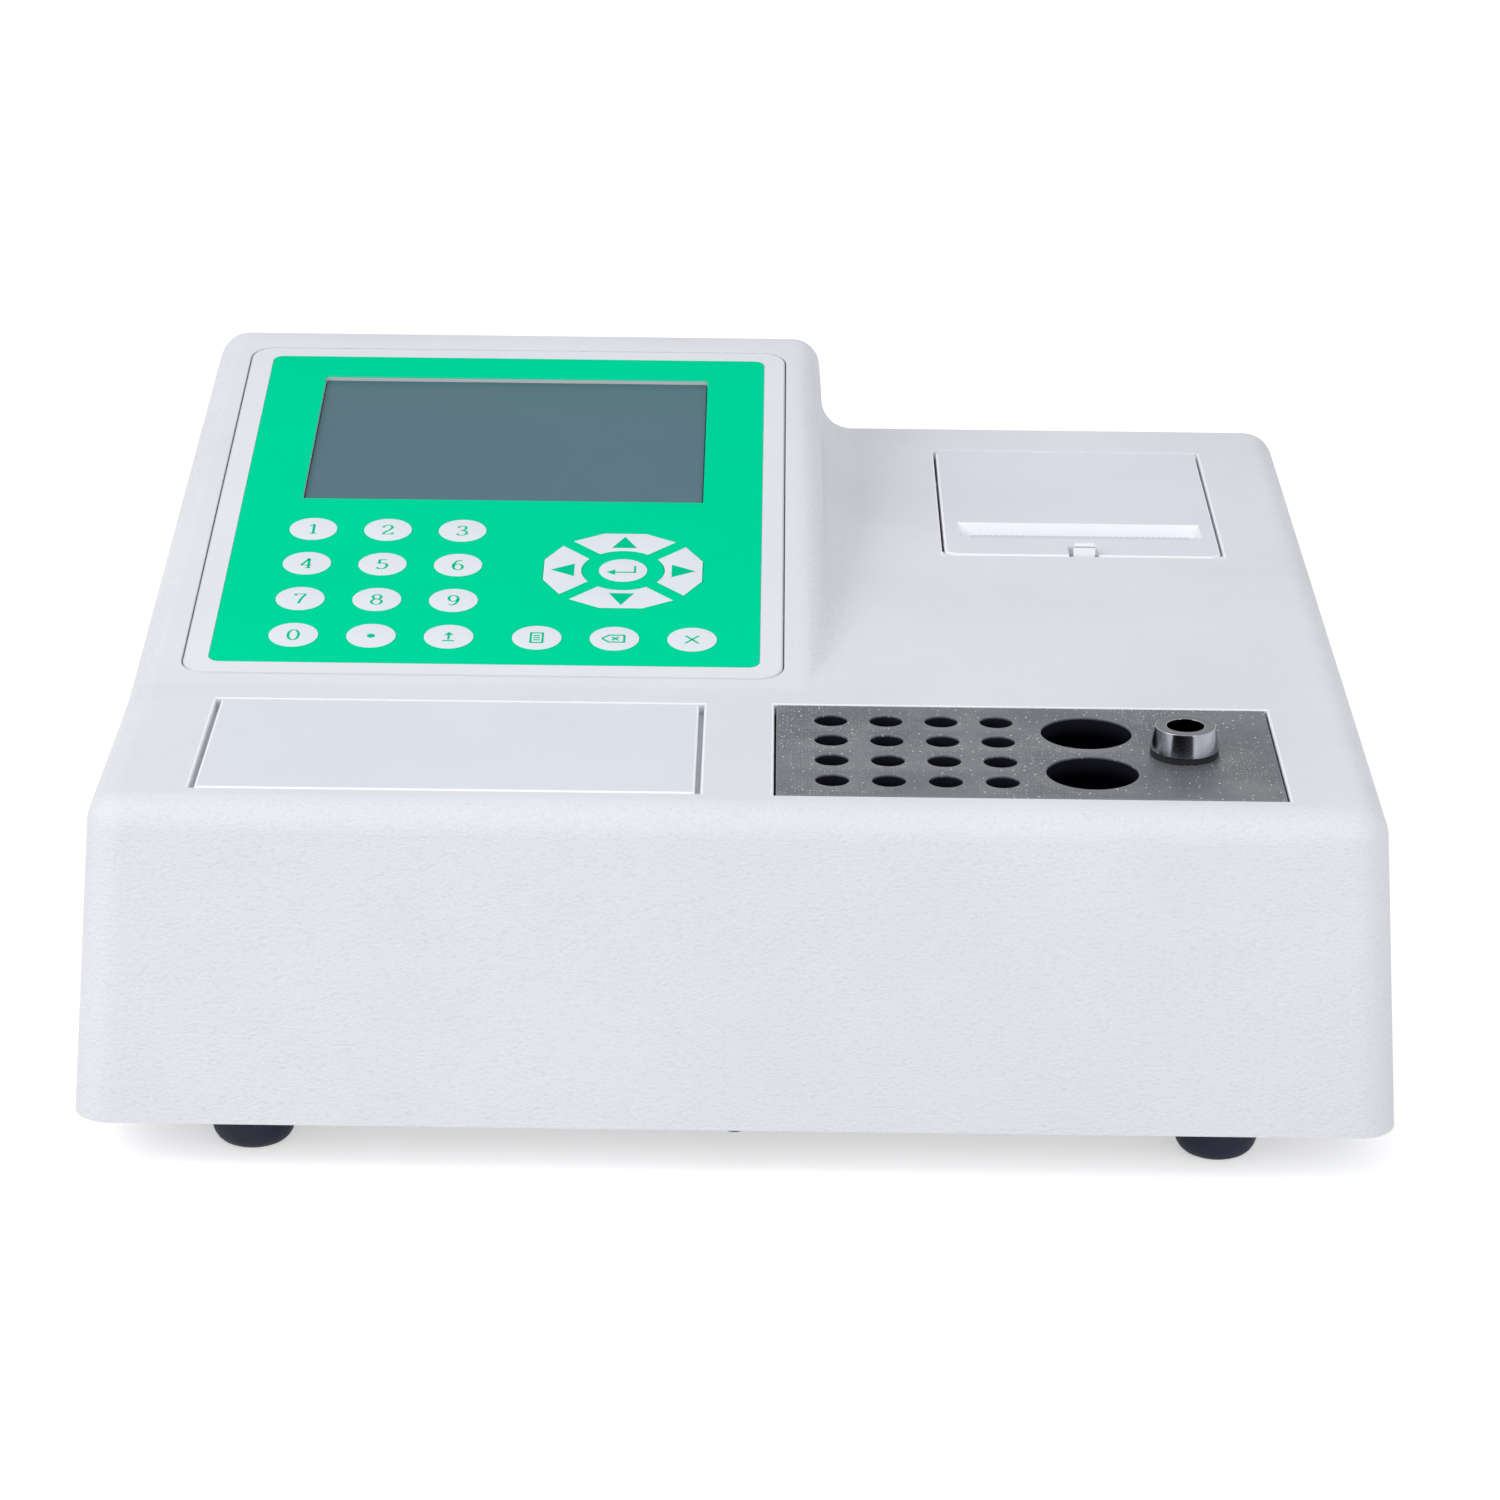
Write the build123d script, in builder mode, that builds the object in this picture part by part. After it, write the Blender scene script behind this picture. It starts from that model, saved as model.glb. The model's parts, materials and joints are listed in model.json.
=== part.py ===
from build123d import *
from math import cos, radians, sin, tan
import os

# Coagulation analyzer: a low bench instrument with a sloping console at the left rear,
# a heated block of wells at the right front, a blanked second block place beside it and
# a roll printer under a hinged door. Millimetres, +Z up, front towards -Y, origin at the
# middle of the footprint on the bench.

# Casing
base_width = 328.0
base_depth = 334.5
foot_height = 13.0
shell_height = 83.0
wall = 3.0
draft = 3.85
corner_radius = 9.5
edge_radius = 8.0
inner_bevel = 4.5
lip_radius = 0.6
ledge_width = 3.0
ledge_thickness = 2.2

# Rounds that repeat are drawn as many-sided outlines: small ones such as screws, and wells.
small_sides = 16
well_sides = 24

# Console
console_angle = 9.26
console_front_depth = 90.75
console_rim = 11.6
console_rear_radius = 30.0
console_root_radius = 10.0

# Console plate, green overlay, window and keys, all measured in the sloping face
plate_width = 157.2
plate_margin = 18.0
plate_end = 43.7
plate_start = 5.2
plate_thickness = 2.8
plate_corner = 7.0
plate_bevel = 0.4
seam_gap = 0.35
seam_radius = 0.3
overlay_width = 143.9
overlay_front_margin = 6.3
overlay_rear_margin = 6.2
overlay_shift = 0.2
overlay_thickness = 0.5
overlay_corner = 3.0
overlay_gap = 0.1
window_width = 111.2
window_start = 105.1
window_margin = 13.1
key_diameter = 13.2
key_gap = 0.12
key_proud = 0.15
key_travel = 0.4
key_flange = 0.8
key_flange_thickness = 0.8
key_slack = 0.05
key_pitch_x = 20.45
key_pitch_s = 20.15
key_margin = 21.05
key_top_s = 86.4
side_keys_offset = 64.1
cross_offset = 85.6
cross_s = 64.3
cross_width = 43.0
cross_hole = 22.4
cross_gap = 3.8
board_thickness = 1.6
dome_height = 0.3
dome_size = 8.0
panel_margin = 3.5
panel_thickness = 2.8
tray_depth = 6.0
tray_wall = 1.0

# Heated block
block_width = 125.0
block_depth = 63.0
block_height = 42.0
block_side_margin = 29.75
block_front_margin = 16.25
block_spacing = 18.5
block_gap = 0.5
cuvette_diameter = 8.5
cuvette_pitch = 14.0
cuvette_count = 4
cuvette_margin = 13.85
cuvette_depth = 32.0
reagent_diameter = 23.0
reagent_pitch = 27.9
reagent_offset = 78.35
reagent_depth = 30.0
measuring_offset = 102.05
measuring_diameter = 9.2
measuring_depth = 34.0
collar_base = 17.2
collar_top = 15.2
collar_height = 7.6
collar_ring_height = 1.4
light_diameter = 5.0
light_length = 14.0
light_depth = 22.0
sensor_diameter = 4.0
sensor_length = 24.0
heater_thickness = 1.4
pad_margin = 3.0
bracket_thickness = 2.0

# Blank cover
cover_side_gap = 1.3
cover_end_gap = 0.4

# Printer
bay_opening_width = 79.0
bay_opening_length = 98.8
bay_shift = 1.6
bay_rear_margin = 33.05
door_thickness = 2.6
door_side_gap = 0.8
door_front_gap = 0.5
door_rear_gap = 1.2
door_corner = 4.0
hinge_setback = 16.7
hinge_drop = 6.5
hinge_pin_radius = 1.5
hinge_boss_radius = 3.2
running_gap = 0.05
slot_mouth_width = 69.0
slot_mouth_length = 11.9
slot_setback = 17.4
slot_throat_width = 61.6
slot_throat_length = 5.4
slot_depth = 8.0
slot_wall = 1.4
tooth_pitch = 1.54
tooth_depth = 0.8
tear_bar_width = 2.0
tear_bar_thickness = 1.0
latch_width = 6.0
latch_thickness = 2.2
latch_proud = 3.3
latch_drop = 10.0
latch_notch_width = 8.4
latch_notch_length = 7.6
latch_pin_radius = 1.0
frame_depth = 53.0
frame_wall = 2.5
paper_width = 57.0
roll_radius = 22.5
core_radius = 6.5
roll_setback = 63.6
trough_radius = 25.0
roll_side_gap = 1.0
roll_lift = 0.3
platen_radius = 5.0
platen_length = 58.0
platen_setback = 14.6
platen_drop = 22.0
shaft_radius = 2.0
gear_module = 0.8
platen_teeth = 24
pinion_teeth = 10
gear_width = 3.4
gear_gap = 0.5
chassis_wall = 1.5
chassis_front_reach = 9.0
chassis_rear_reach = 16.0
chassis_top_reach = 6.5
head_gap = 0.3
head_thickness = 5.0
head_top_reach = 5.0
head_bottom_reach = 7.0
motor_radius = 7.5
motor_length = 18.0

# Inside and rear
base_thickness = 2.0
base_gap = 0.5
foot_diameter = 21.0
foot_flat_radius = 6.5
foot_shoulder = 5.2
foot_taper = 0.7
stem_radius = 3.0
stem_barb = 0.7
stem_length = 4.0
foot_side_inset = 43.0
foot_end_inset = 21.25
screw_end_inset = 7.25
screw_side_inset = 7.0
boss_radius = 4.0
screw_shank_radius = 1.5
screw_head_radius = 3.1
screw_head_height = 2.6
screw_bite = 14.0
fit_gap = 0.05
standoff_height = 8.0
cutout_gap = 0.3
flange_thickness = 1.6
inlet_margin = 46.0
inlet_z = 52.0
inlet_width = 28.0
inlet_height = 20.6
inlet_depth = 20.0
inlet_flange_width = 32.0
inlet_flange_height = 25.0
socket_depth = 17.0
blade_length = 14.0
switch_spacing = 40.0
switch_width = 13.6
switch_height = 19.8
switch_depth = 14.0
switch_throw = 16.0
rocker_width = 9.6
rocker_length = 15.2
port_spacing = 44.0
port_z = 62.0
port_width = 17.6
port_height = 9.0
port_reach = 5.4
port_side_angle = 80.0
vent_width = 3.0
vent_height = 34.0
vent_pitch = 8.0
vent_count = 11
vent_shift = 10.0
vent_z = 55.0

os.makedirs("parts", exist_ok=True)

deck_z = foot_height + shell_height
half_depth = base_depth / 2
lean = tan(radians(draft))
slope = radians(console_angle)
base_top_z = foot_height + base_thickness
block_top_z = deck_z
block_bottom_z = block_top_z - block_height
block_x = base_width / 2 - block_side_margin - block_width / 2
block_left_x = block_x - block_width / 2
block_front_y = -half_depth + block_front_margin
block_rear_y = block_front_y + block_depth
block_y = (block_front_y + block_rear_y) / 2
cuvette_first_x = block_left_x + cuvette_margin
reagent_x = block_left_x + reagent_offset
measuring_x = block_left_x + measuring_offset
cover_opening_width = base_width - 2 * block_side_margin - block_width - block_spacing
cover_x = -base_width / 2 + block_side_margin + cover_opening_width / 2
console_start_y = -half_depth + console_front_depth
plate_center_x = -base_width / 2 + plate_margin + plate_width / 2
console_side_x = plate_center_x + plate_width / 2 + console_rim
plate_length = (half_depth - plate_end - console_start_y) / cos(slope) - plate_start
plate_center_s = plate_start + plate_length / 2
overlay_start = plate_start + overlay_front_margin
overlay_length = plate_length - overlay_front_margin - overlay_rear_margin
overlay_center_x = plate_center_x + overlay_shift
overlay_center_s = overlay_start + overlay_length / 2
window_length = overlay_start + overlay_length - window_margin - window_start
window_center_s = window_start + window_length / 2
key_first_x = overlay_center_x - overlay_width / 2 + key_margin
side_keys_x = key_first_x + side_keys_offset
cross_x = key_first_x + cross_offset
bay_x = (console_side_x + base_width / 2) / 2 + bay_shift
bay_rear_y = half_depth - bay_rear_margin
bay_front_y = bay_rear_y - bay_opening_length
bay_center_y = (bay_front_y + bay_rear_y) / 2
hinge_y = bay_rear_y - hinge_setback
slot_mouth_front_y = bay_front_y + slot_setback
roll_y = bay_front_y + roll_setback
platen_y = bay_front_y + platen_setback
foot_x = base_width / 2 - foot_side_inset
foot_y = half_depth - foot_end_inset
screw_x = base_width / 2 - screw_side_inset
screw_y = half_depth - screw_end_inset
inlet_x = -base_width / 2 + inlet_margin
switch_x = inlet_x + switch_spacing
port_x = switch_x + port_spacing
vent_x = bay_x - vent_shift
hinge_z = deck_z - hinge_drop
frame_top_z = deck_z - wall
frame_bottom_z = frame_top_z - frame_depth

# The sloping face: local x is across, local y runs up the slope from the break line.
console_face = Plane(
    origin=(0, console_start_y, deck_z),
    x_dir=(1, 0, 0),
    z_dir=(0, -sin(slope), cos(slope)),
)
# The rear wall: local x runs left seen from the front, local y up the leaning wall.
rear_face = Plane(
    origin=(0, half_depth, foot_height),
    x_dir=(-1, 0, 0),
    z_dir=(0, cos(radians(draft)), sin(radians(draft))),
)


def write(part, name):
    """Labels a finished sub-part and writes its STEP file."""
    part.label = name
    export_step(part, f"parts/{name}.step")


def wall_y(z):
    """How far back the leaning rear wall stands at a height."""
    return half_depth - (z - foot_height) * lean


def lower_casing(inset):
    """The drafted lower box moved inward by inset: rounded outside, bevelled inside."""
    with BuildPart() as form:
        with BuildSketch(Plane.XY.offset(foot_height)):
            Rectangle(base_width - 2 * inset, base_depth - 2 * inset)
        extrude(amount=shell_height - inset, taper=draft)
        upright = form.edges().filter_by(lambda e: abs(e.tangent_at(0.5).Z) > 0.9)
        if inset == 0:
            fillet(upright, corner_radius)
            fillet(form.faces().sort_by(Axis.Z)[-1].edges(), edge_radius)
        else:
            chamfer(upright, inner_bevel)
            chamfer(form.faces().sort_by(Axis.Z)[-1].edges(), inner_bevel)
    return form.part


def console_casing(inset):
    """The sloping console: a side profile with a rounded rear, drafted at both sides."""
    low_z = deck_z - edge_radius * 5
    front_y = console_start_y - edge_radius * 7
    front_z = deck_z + (front_y - console_start_y) * tan(slope) - inset / cos(slope)
    crest_z = (
        deck_z
        - inset / cos(slope)
        + (half_depth + foot_height * lean - inset - console_start_y) * tan(slope)
    ) / (1 + lean * tan(slope))
    side_normal = (cos(radians(draft)), 0, sin(radians(draft)))
    left_normal = (-cos(radians(draft)), 0, sin(radians(draft)))
    left_wall = Plane((-base_width / 2 + inset, 0, foot_height), (0, 1, 0), left_normal)
    right_wall = Plane((console_side_x - inset, 0, deck_z), (0, 1, 0), side_normal)
    with BuildPart() as form:
        with BuildSketch(Plane.YZ.offset(-base_width)):
            with BuildLine():
                Line((front_y, low_z), (front_y, front_z))
                FilletPolyline(
                    (front_y, front_z),
                    (wall_y(crest_z) - inset, crest_z),
                    (wall_y(low_z) - inset, low_z),
                    radius=console_rear_radius - inset,
                )
                Line((wall_y(low_z) - inset, low_z), (front_y, low_z))
            make_face()
        extrude(amount=2 * base_width)
        split(bisect_by=left_wall, keep=Keep.BOTTOM)
        split(bisect_by=right_wall, keep=Keep.BOTTOM)
        rims = form.edges().filter_by(
            lambda e: (
                abs(e.tangent_at(0.5).X) < 0.5
                and (e @ 0.5).Z > low_z + 1
                and (e @ 0.5).Y > front_y + 1
            )
        )
        if inset == 0:
            fillet(rims, edge_radius)
        else:
            chamfer(rims, inner_bevel)
    return form.part


def root_edges(form):
    """The inner corner where the console's right side and front run into the deck."""
    return form.edges().filter_by(
        lambda e: (
            abs((e @ 0).Z - deck_z) < 0.01
            and abs((e @ 1).Z - deck_z) < 0.01
            and abs((e @ 0.5).Z - deck_z) < 0.01
            and max((e @ 0).X, (e @ 1).X) < console_side_x + edge_radius
            and min((e @ 0).X, (e @ 1).X) > 0
        )
    )


# Key places in the sloping face: name, x, distance up the slope.
round_keys = []
key_rows = (("1", "2", "3"), ("4", "5", "6"), ("7", "8", "9"), ("0", "point", "feed"))
for row, names in enumerate(key_rows):
    for column, key_name in enumerate(names):
        key_x = key_first_x + column * key_pitch_x
        round_keys.append((key_name, key_x, key_top_s - row * key_pitch_s))
bottom_s = key_top_s - 3 * key_pitch_s
for column, key_name in enumerate(("print", "delete", "escape")):
    round_keys.append((key_name, side_keys_x + column * key_pitch_x, bottom_s))
round_keys.append(("enter", cross_x, cross_s))
arrow_keys = (("up", 0), ("left", 90), ("down", 180), ("right", 270))
round_key_places = [(x, s) for _, x, s in round_keys]


def arrow_outline(turn, grow):
    """One quarter of a twelve-sided ring between the diagonals, turned by an angle."""
    with BuildSketch() as outline:
        RegularPolygon(cross_width / 2 + grow, 12, major_radius=False, rotation=15)
        RegularPolygon(cross_hole / 2 - grow, 2 * small_sides, mode=Mode.SUBTRACT)
        half_gap = (cross_gap / 2 - grow) * 2**0.5
        with BuildSketch(mode=Mode.INTERSECT):
            with BuildLine():
                Polyline(
                    (0, half_gap),
                    (cross_width, cross_width + half_gap),
                    (-cross_width, cross_width + half_gap),
                    close=True,
                )
            make_face()
    return Location((cross_x, cross_s, 0), (0, 0, turn)) * outline.sketch


def key_outlines(grow):
    """All key openings in the sloping face, each side wider by grow."""
    with BuildSketch() as outlines:
        with Locations(round_key_places):
            RegularPolygon(key_diameter / 2 + grow, small_sides)
        for _, turn in arrow_keys:
            add(arrow_outline(turn, grow))
    return outlines.sketch


# Top shell: the whole upper casing in one moulding, with its openings, ledges and bosses.
outer_form = lower_casing(0) + console_casing(0)
outer_form = outer_form.fillet(console_root_radius, root_edges(outer_form))
inner_form = lower_casing(wall) + console_casing(wall)
boss_places = [(0, -screw_y), (0, screw_y), (-screw_x, 0), (screw_x, 0)]
ledge_z = deck_z - wall
block_opening_width = block_width + 2 * block_gap
block_opening_depth = block_depth + 2 * block_gap

with BuildPart() as ledges:
    # Ring under the console plate's edge
    with BuildSketch(console_face.offset(-plate_thickness)):
        with Locations((plate_center_x, plate_center_s)):
            RectangleRounded(plate_width + ledge_width, plate_length + ledge_width, plate_corner)
            RectangleRounded(
                plate_width - 2 * ledge_width,
                plate_length - 2 * ledge_width,
                plate_corner - ledge_width,
                mode=Mode.SUBTRACT,
            )
    extrude(amount=-ledge_thickness)
    # Ring under the blank cover's edge
    with BuildSketch(Plane.XY.offset(ledge_z)):
        with Locations((cover_x, block_y)):
            Rectangle(cover_opening_width + 2 * ledge_width, block_depth + ledge_width)
            Rectangle(
                cover_opening_width - 2 * ledge_width, block_depth - 2 * ledge_width, mode=Mode.SUBTRACT
            )
    extrude(amount=-ledge_thickness)
    # Screw bosses along the walls
    with BuildSketch(Plane.XY.offset(base_top_z)):
        with Locations(boss_places):
            RegularPolygon(boss_radius, small_sides)
    extrude(amount=shell_height - base_thickness)
inside_parts = ledges.part & (inner_form + console_casing(wall / 2))

with BuildPart() as top_shell:
    add(outer_form)
    add(inner_form, mode=Mode.SUBTRACT)
    add(inside_parts)
    # Console plate opening down to its ledge
    with BuildSketch(console_face):
        with Locations((plate_center_x, plate_center_s)):
            RectangleRounded(plate_width, plate_length, plate_corner)
    extrude(amount=-plate_thickness, mode=Mode.SUBTRACT)
    with BuildSketch(console_face):
        with Locations((plate_center_x, plate_center_s)):
            RectangleRounded(
                plate_width - 2 * ledge_width, plate_length - 2 * ledge_width, plate_corner - ledge_width
            )
    extrude(amount=-plate_thickness - ledge_thickness - wall, mode=Mode.SUBTRACT)
    # Heated block opening and blank cover opening
    with BuildSketch(Plane.XY.offset(deck_z)):
        with Locations((block_x, block_y)):
            Rectangle(block_opening_width, block_opening_depth)
        with Locations((cover_x, block_y)):
            Rectangle(cover_opening_width, block_depth)
    extrude(amount=-wall, mode=Mode.SUBTRACT)
    # Printer opening, rounded at its front corners
    with BuildSketch(Plane.XY.offset(deck_z)) as bay_opening:
        with Locations((bay_x, bay_center_y)):
            Rectangle(bay_opening_width, bay_opening_length)
        fillet(bay_opening.vertices().group_by(Axis.Y)[0], door_corner + door_front_gap)
    extrude(amount=-wall, mode=Mode.SUBTRACT)
    # Rounded lips round the openings in the deck and in the sloping face
    level_faces = top_shell.faces().filter_by(lambda f: abs(f.center().Z - deck_z) < 0.01)
    deck_face = level_faces.sort_by(SortBy.AREA)[-1]
    fillet([edge for wire in deck_face.inner_wires() for edge in wire.edges()], lip_radius)
    sloping_faces = top_shell.faces().filter_by(
        lambda f: f.geom_type == GeomType.PLANE and f.normal_at().dot(console_face.z_dir) > 0.9999
    )
    sloping_face = sloping_faces.sort_by(Axis.Z)[-1]
    fillet([edge for wire in sloping_face.inner_wires() for edge in wire.edges()], seam_radius)
    with BuildSketch(Plane.XY.offset(ledge_z)):
        with Locations((cover_x, block_y)):
            Rectangle(cover_opening_width - 2 * ledge_width, block_depth - 2 * ledge_width)
    extrude(amount=-ledge_thickness, mode=Mode.SUBTRACT)
    # Rear cut-outs
    with BuildSketch(rear_face):
        with Locations((-inlet_x, inlet_z - foot_height)):
            Rectangle(inlet_width, inlet_height)
        with Locations((-switch_x, inlet_z - foot_height)):
            Rectangle(switch_width, switch_height)
        with Locations((-port_x, port_z - foot_height)):
            Trapezoid(port_width, port_height, port_side_angle)
        with Locations((-vent_x, vent_z - foot_height)):
            with GridLocations(vent_pitch, 0, vent_count, 1):
                Rectangle(vent_width, vent_height)
    extrude(amount=-wall * 2, mode=Mode.SUBTRACT)
    # Screw holes in the bosses
    with BuildSketch(Plane.XY.offset(base_top_z)):
        with Locations(boss_places):
            RegularPolygon(screw_shank_radius + fit_gap, small_sides)
    extrude(amount=screw_bite, mode=Mode.SUBTRACT)
write(top_shell.part, "top_shell")

# Base plate inside the bottom rim, with holes for the screws and for the stems of the feet.
foot_places = [(-foot_x, -foot_y), (foot_x, -foot_y), (-foot_x, foot_y), (foot_x, foot_y)]
base_margin = wall + base_gap + base_thickness * lean
with BuildPart() as base_plate:
    with BuildSketch(Plane.XY.offset(foot_height)) as base_outline:
        Rectangle(base_width - 2 * base_margin, base_depth - 2 * base_margin)
        chamfer(base_outline.vertices(), inner_bevel)
        with Locations(foot_places):
            RegularPolygon(stem_radius + fit_gap, small_sides, mode=Mode.SUBTRACT)
        with Locations(boss_places):
            RegularPolygon(screw_shank_radius + fit_gap, small_sides, mode=Mode.SUBTRACT)
    extrude(amount=base_thickness)
write(base_plate.part, "base_plate")

# Rubber feet: domed buttons held by a stem with a barb above the base plate.
foot_radius = foot_diameter / 2
foot_profile = (
    (foot_flat_radius, 0.0),
    (foot_radius, foot_shoulder),
    (foot_radius - foot_taper, foot_height),
    (stem_radius, foot_height),
    (stem_radius, base_top_z + fit_gap),
    (stem_radius + stem_barb, base_top_z + fit_gap),
    (stem_radius, base_top_z + stem_length),
)
with BuildPart() as rubber_foot:
    for (low_radius, low_z), (high_radius, high_z) in zip(foot_profile, foot_profile[1:]):
        if high_z > low_z:
            with BuildSketch(Plane.XY.offset(low_z)):
                RegularPolygon(low_radius, small_sides)
            with BuildSketch(Plane.XY.offset(high_z)):
                RegularPolygon(high_radius, small_sides)
            loft(ruled=True)
with BuildPart() as rubber_feet:
    with Locations(foot_places):
        add(rubber_foot.part)
write(rubber_feet.part, "rubber_feet")

# Pan head screws up through the base plate into the shell's bosses.
with BuildPart() as base_screws:
    with BuildSketch(Plane.XY.offset(foot_height)):
        with Locations(boss_places):
            RegularPolygon(screw_head_radius, small_sides)
    extrude(amount=-screw_head_height)
    with BuildSketch(Plane.XY.offset(foot_height)):
        with Locations(boss_places):
            RegularPolygon(screw_shank_radius, small_sides)
    extrude(amount=base_thickness + screw_bite - 1.0)
write(base_screws.part, "base_screws")

# Console plate: white, set in the seam, with a shallow bed for the green overlay.
tray_width = window_width + 2 * (panel_margin + tray_wall)
tray_length = window_length + 2 * (panel_margin + tray_wall)
board_margin = 4.5
display_board_width = tray_width + 4 * board_margin
display_board_length = tray_length - 2 * tray_wall
display_boss_x = tray_width / 2 + board_margin
display_boss_s = display_board_length / 2 - board_margin
keyboard_start = overlay_start + 2.0
keyboard_end = window_start - panel_margin - tray_wall - 1.5
keyboard_width = overlay_width - 6.0
keyboard_length = keyboard_end - keyboard_start
keyboard_center_s = (keyboard_start + keyboard_end) / 2
keyboard_depth = plate_thickness + key_slack + key_flange_thickness + key_travel + dome_height + key_slack
keyboard_boss_x = keyboard_width / 2 - 3.0
keyboard_boss_s = keyboard_length / 2 - 3.0
boss_size = 4.6

with BuildPart() as console_plate:
    with BuildSketch(console_face):
        with Locations((plate_center_x, plate_center_s)):
            RectangleRounded(
                plate_width - 2 * seam_gap, plate_length - 2 * seam_gap, plate_corner - seam_gap
            )
    extrude(amount=-plate_thickness)
    plate_top = console_plate.faces().sort_by(Axis(console_face.origin, console_face.z_dir))[-1]
    chamfer(plate_top.edges(), plate_bevel)
    with BuildSketch(console_face):
        with Locations((overlay_center_x, overlay_center_s)):
            RectangleRounded(
                overlay_width + 2 * overlay_gap,
                overlay_length + 2 * overlay_gap,
                overlay_corner + overlay_gap,
            )
    extrude(amount=-overlay_thickness, mode=Mode.SUBTRACT)
    with BuildSketch(console_face):
        with Locations((overlay_center_x, window_center_s)):
            Rectangle(window_width, window_length)
        add(key_outlines(key_gap))
    extrude(amount=-plate_thickness, mode=Mode.SUBTRACT)
    # Bosses for the display board and the keyboard
    with BuildSketch(console_face.offset(-plate_thickness)):
        with Locations((overlay_center_x, window_center_s)):
            with GridLocations(2 * display_boss_x, 2 * display_boss_s, 2, 2):
                RegularPolygon(boss_size / 2, 6)
    extrude(amount=-panel_thickness - tray_depth)
    with BuildSketch(console_face.offset(-plate_thickness)):
        with Locations((overlay_center_x, keyboard_center_s)):
            with GridLocations(keyboard_boss_x, 2 * keyboard_boss_s, 3, 2):
                RegularPolygon(boss_size / 2, 6)
    extrude(amount=plate_thickness - keyboard_depth)
write(console_plate.part, "console_plate")

with BuildPart() as keypad_overlay:
    with BuildSketch(console_face.offset(-overlay_thickness)):
        with Locations((overlay_center_x, overlay_center_s)):
            RectangleRounded(overlay_width, overlay_length, overlay_corner)
        with Locations((overlay_center_x, window_center_s)):
            Rectangle(window_width, window_length, mode=Mode.SUBTRACT)
        add(key_outlines(key_gap), mode=Mode.SUBTRACT)
    extrude(amount=overlay_thickness)
write(keypad_overlay.part, "keypad_overlay")

# Display: glass panel against the plate's underside, steel tray round it, board behind.
with BuildPart() as display_panel:
    with BuildSketch(console_face.offset(-plate_thickness)):
        with Locations((overlay_center_x, window_center_s)):
            Rectangle(window_width + 2 * panel_margin - 0.2, window_length + 2 * panel_margin - 0.2)
    extrude(amount=-panel_thickness)
write(display_panel.part, "display_panel")

with BuildPart() as display_tray:
    with BuildSketch(console_face.offset(-plate_thickness)):
        with Locations((overlay_center_x, window_center_s)):
            Rectangle(tray_width, tray_length)
    extrude(amount=-panel_thickness - tray_depth)
    with BuildSketch(console_face.offset(-plate_thickness)):
        with Locations((overlay_center_x, window_center_s)):
            Rectangle(tray_width - 2 * tray_wall, tray_length - 2 * tray_wall)
    extrude(amount=-panel_thickness, mode=Mode.SUBTRACT)
write(display_tray.part, "display_tray")

with BuildPart() as display_board:
    with BuildSketch(console_face.offset(-plate_thickness - panel_thickness - tray_depth)):
        with Locations((overlay_center_x, window_center_s)):
            Rectangle(display_board_width, display_board_length)
    extrude(amount=-board_thickness)
write(display_board.part, "display_board")

with BuildPart() as keyboard:
    with BuildSketch(console_face.offset(-keyboard_depth)):
        with Locations((overlay_center_x, keyboard_center_s)):
            Rectangle(keyboard_width, keyboard_length)
    extrude(amount=-board_thickness)
write(keyboard.part, "keyboard")

# Snap domes on the keyboard, one under each key: pressed square with drawn-in sides.
cross_arm = (cross_width + cross_hole) / 4
arrow_places = [
    (cross_x - cross_arm * sin(radians(turn)), cross_s + cross_arm * cos(radians(turn)))
    for _, turn in arrow_keys
]
with BuildPart() as snap_domes:
    with BuildSketch(console_face.offset(-keyboard_depth)):
        with Locations(round_key_places + arrow_places):
            Rectangle(dome_size, dome_size)
    extrude(amount=dome_height, taper=60)
write(snap_domes.part, "snap_domes")

# Keys: a cap through the plate and overlay with a flange that holds it in from below.
flange_face = console_face.offset(-plate_thickness - key_slack)
cap_length = plate_thickness + key_slack + key_proud
for key_name, key_x, key_s in round_keys:
    with BuildPart() as key:
        with BuildSketch(flange_face):
            with Locations((key_x, key_s)):
                RegularPolygon(key_diameter / 2, small_sides)
        extrude(amount=cap_length)
        with BuildSketch(flange_face):
            with Locations((key_x, key_s)):
                Rectangle(key_diameter + 2 * key_flange, key_diameter + 2 * key_flange)
        extrude(amount=-key_flange_thickness)
    write(key.part, f"key_{key_name}")
for key_name, turn in arrow_keys:
    with BuildPart() as key:
        with BuildSketch(flange_face):
            add(arrow_outline(turn, 0))
        extrude(amount=cap_length)
        with BuildSketch(flange_face):
            add(arrow_outline(turn, key_flange))
        extrude(amount=-key_flange_thickness)
    write(key.part, f"key_{key_name}")

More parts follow.
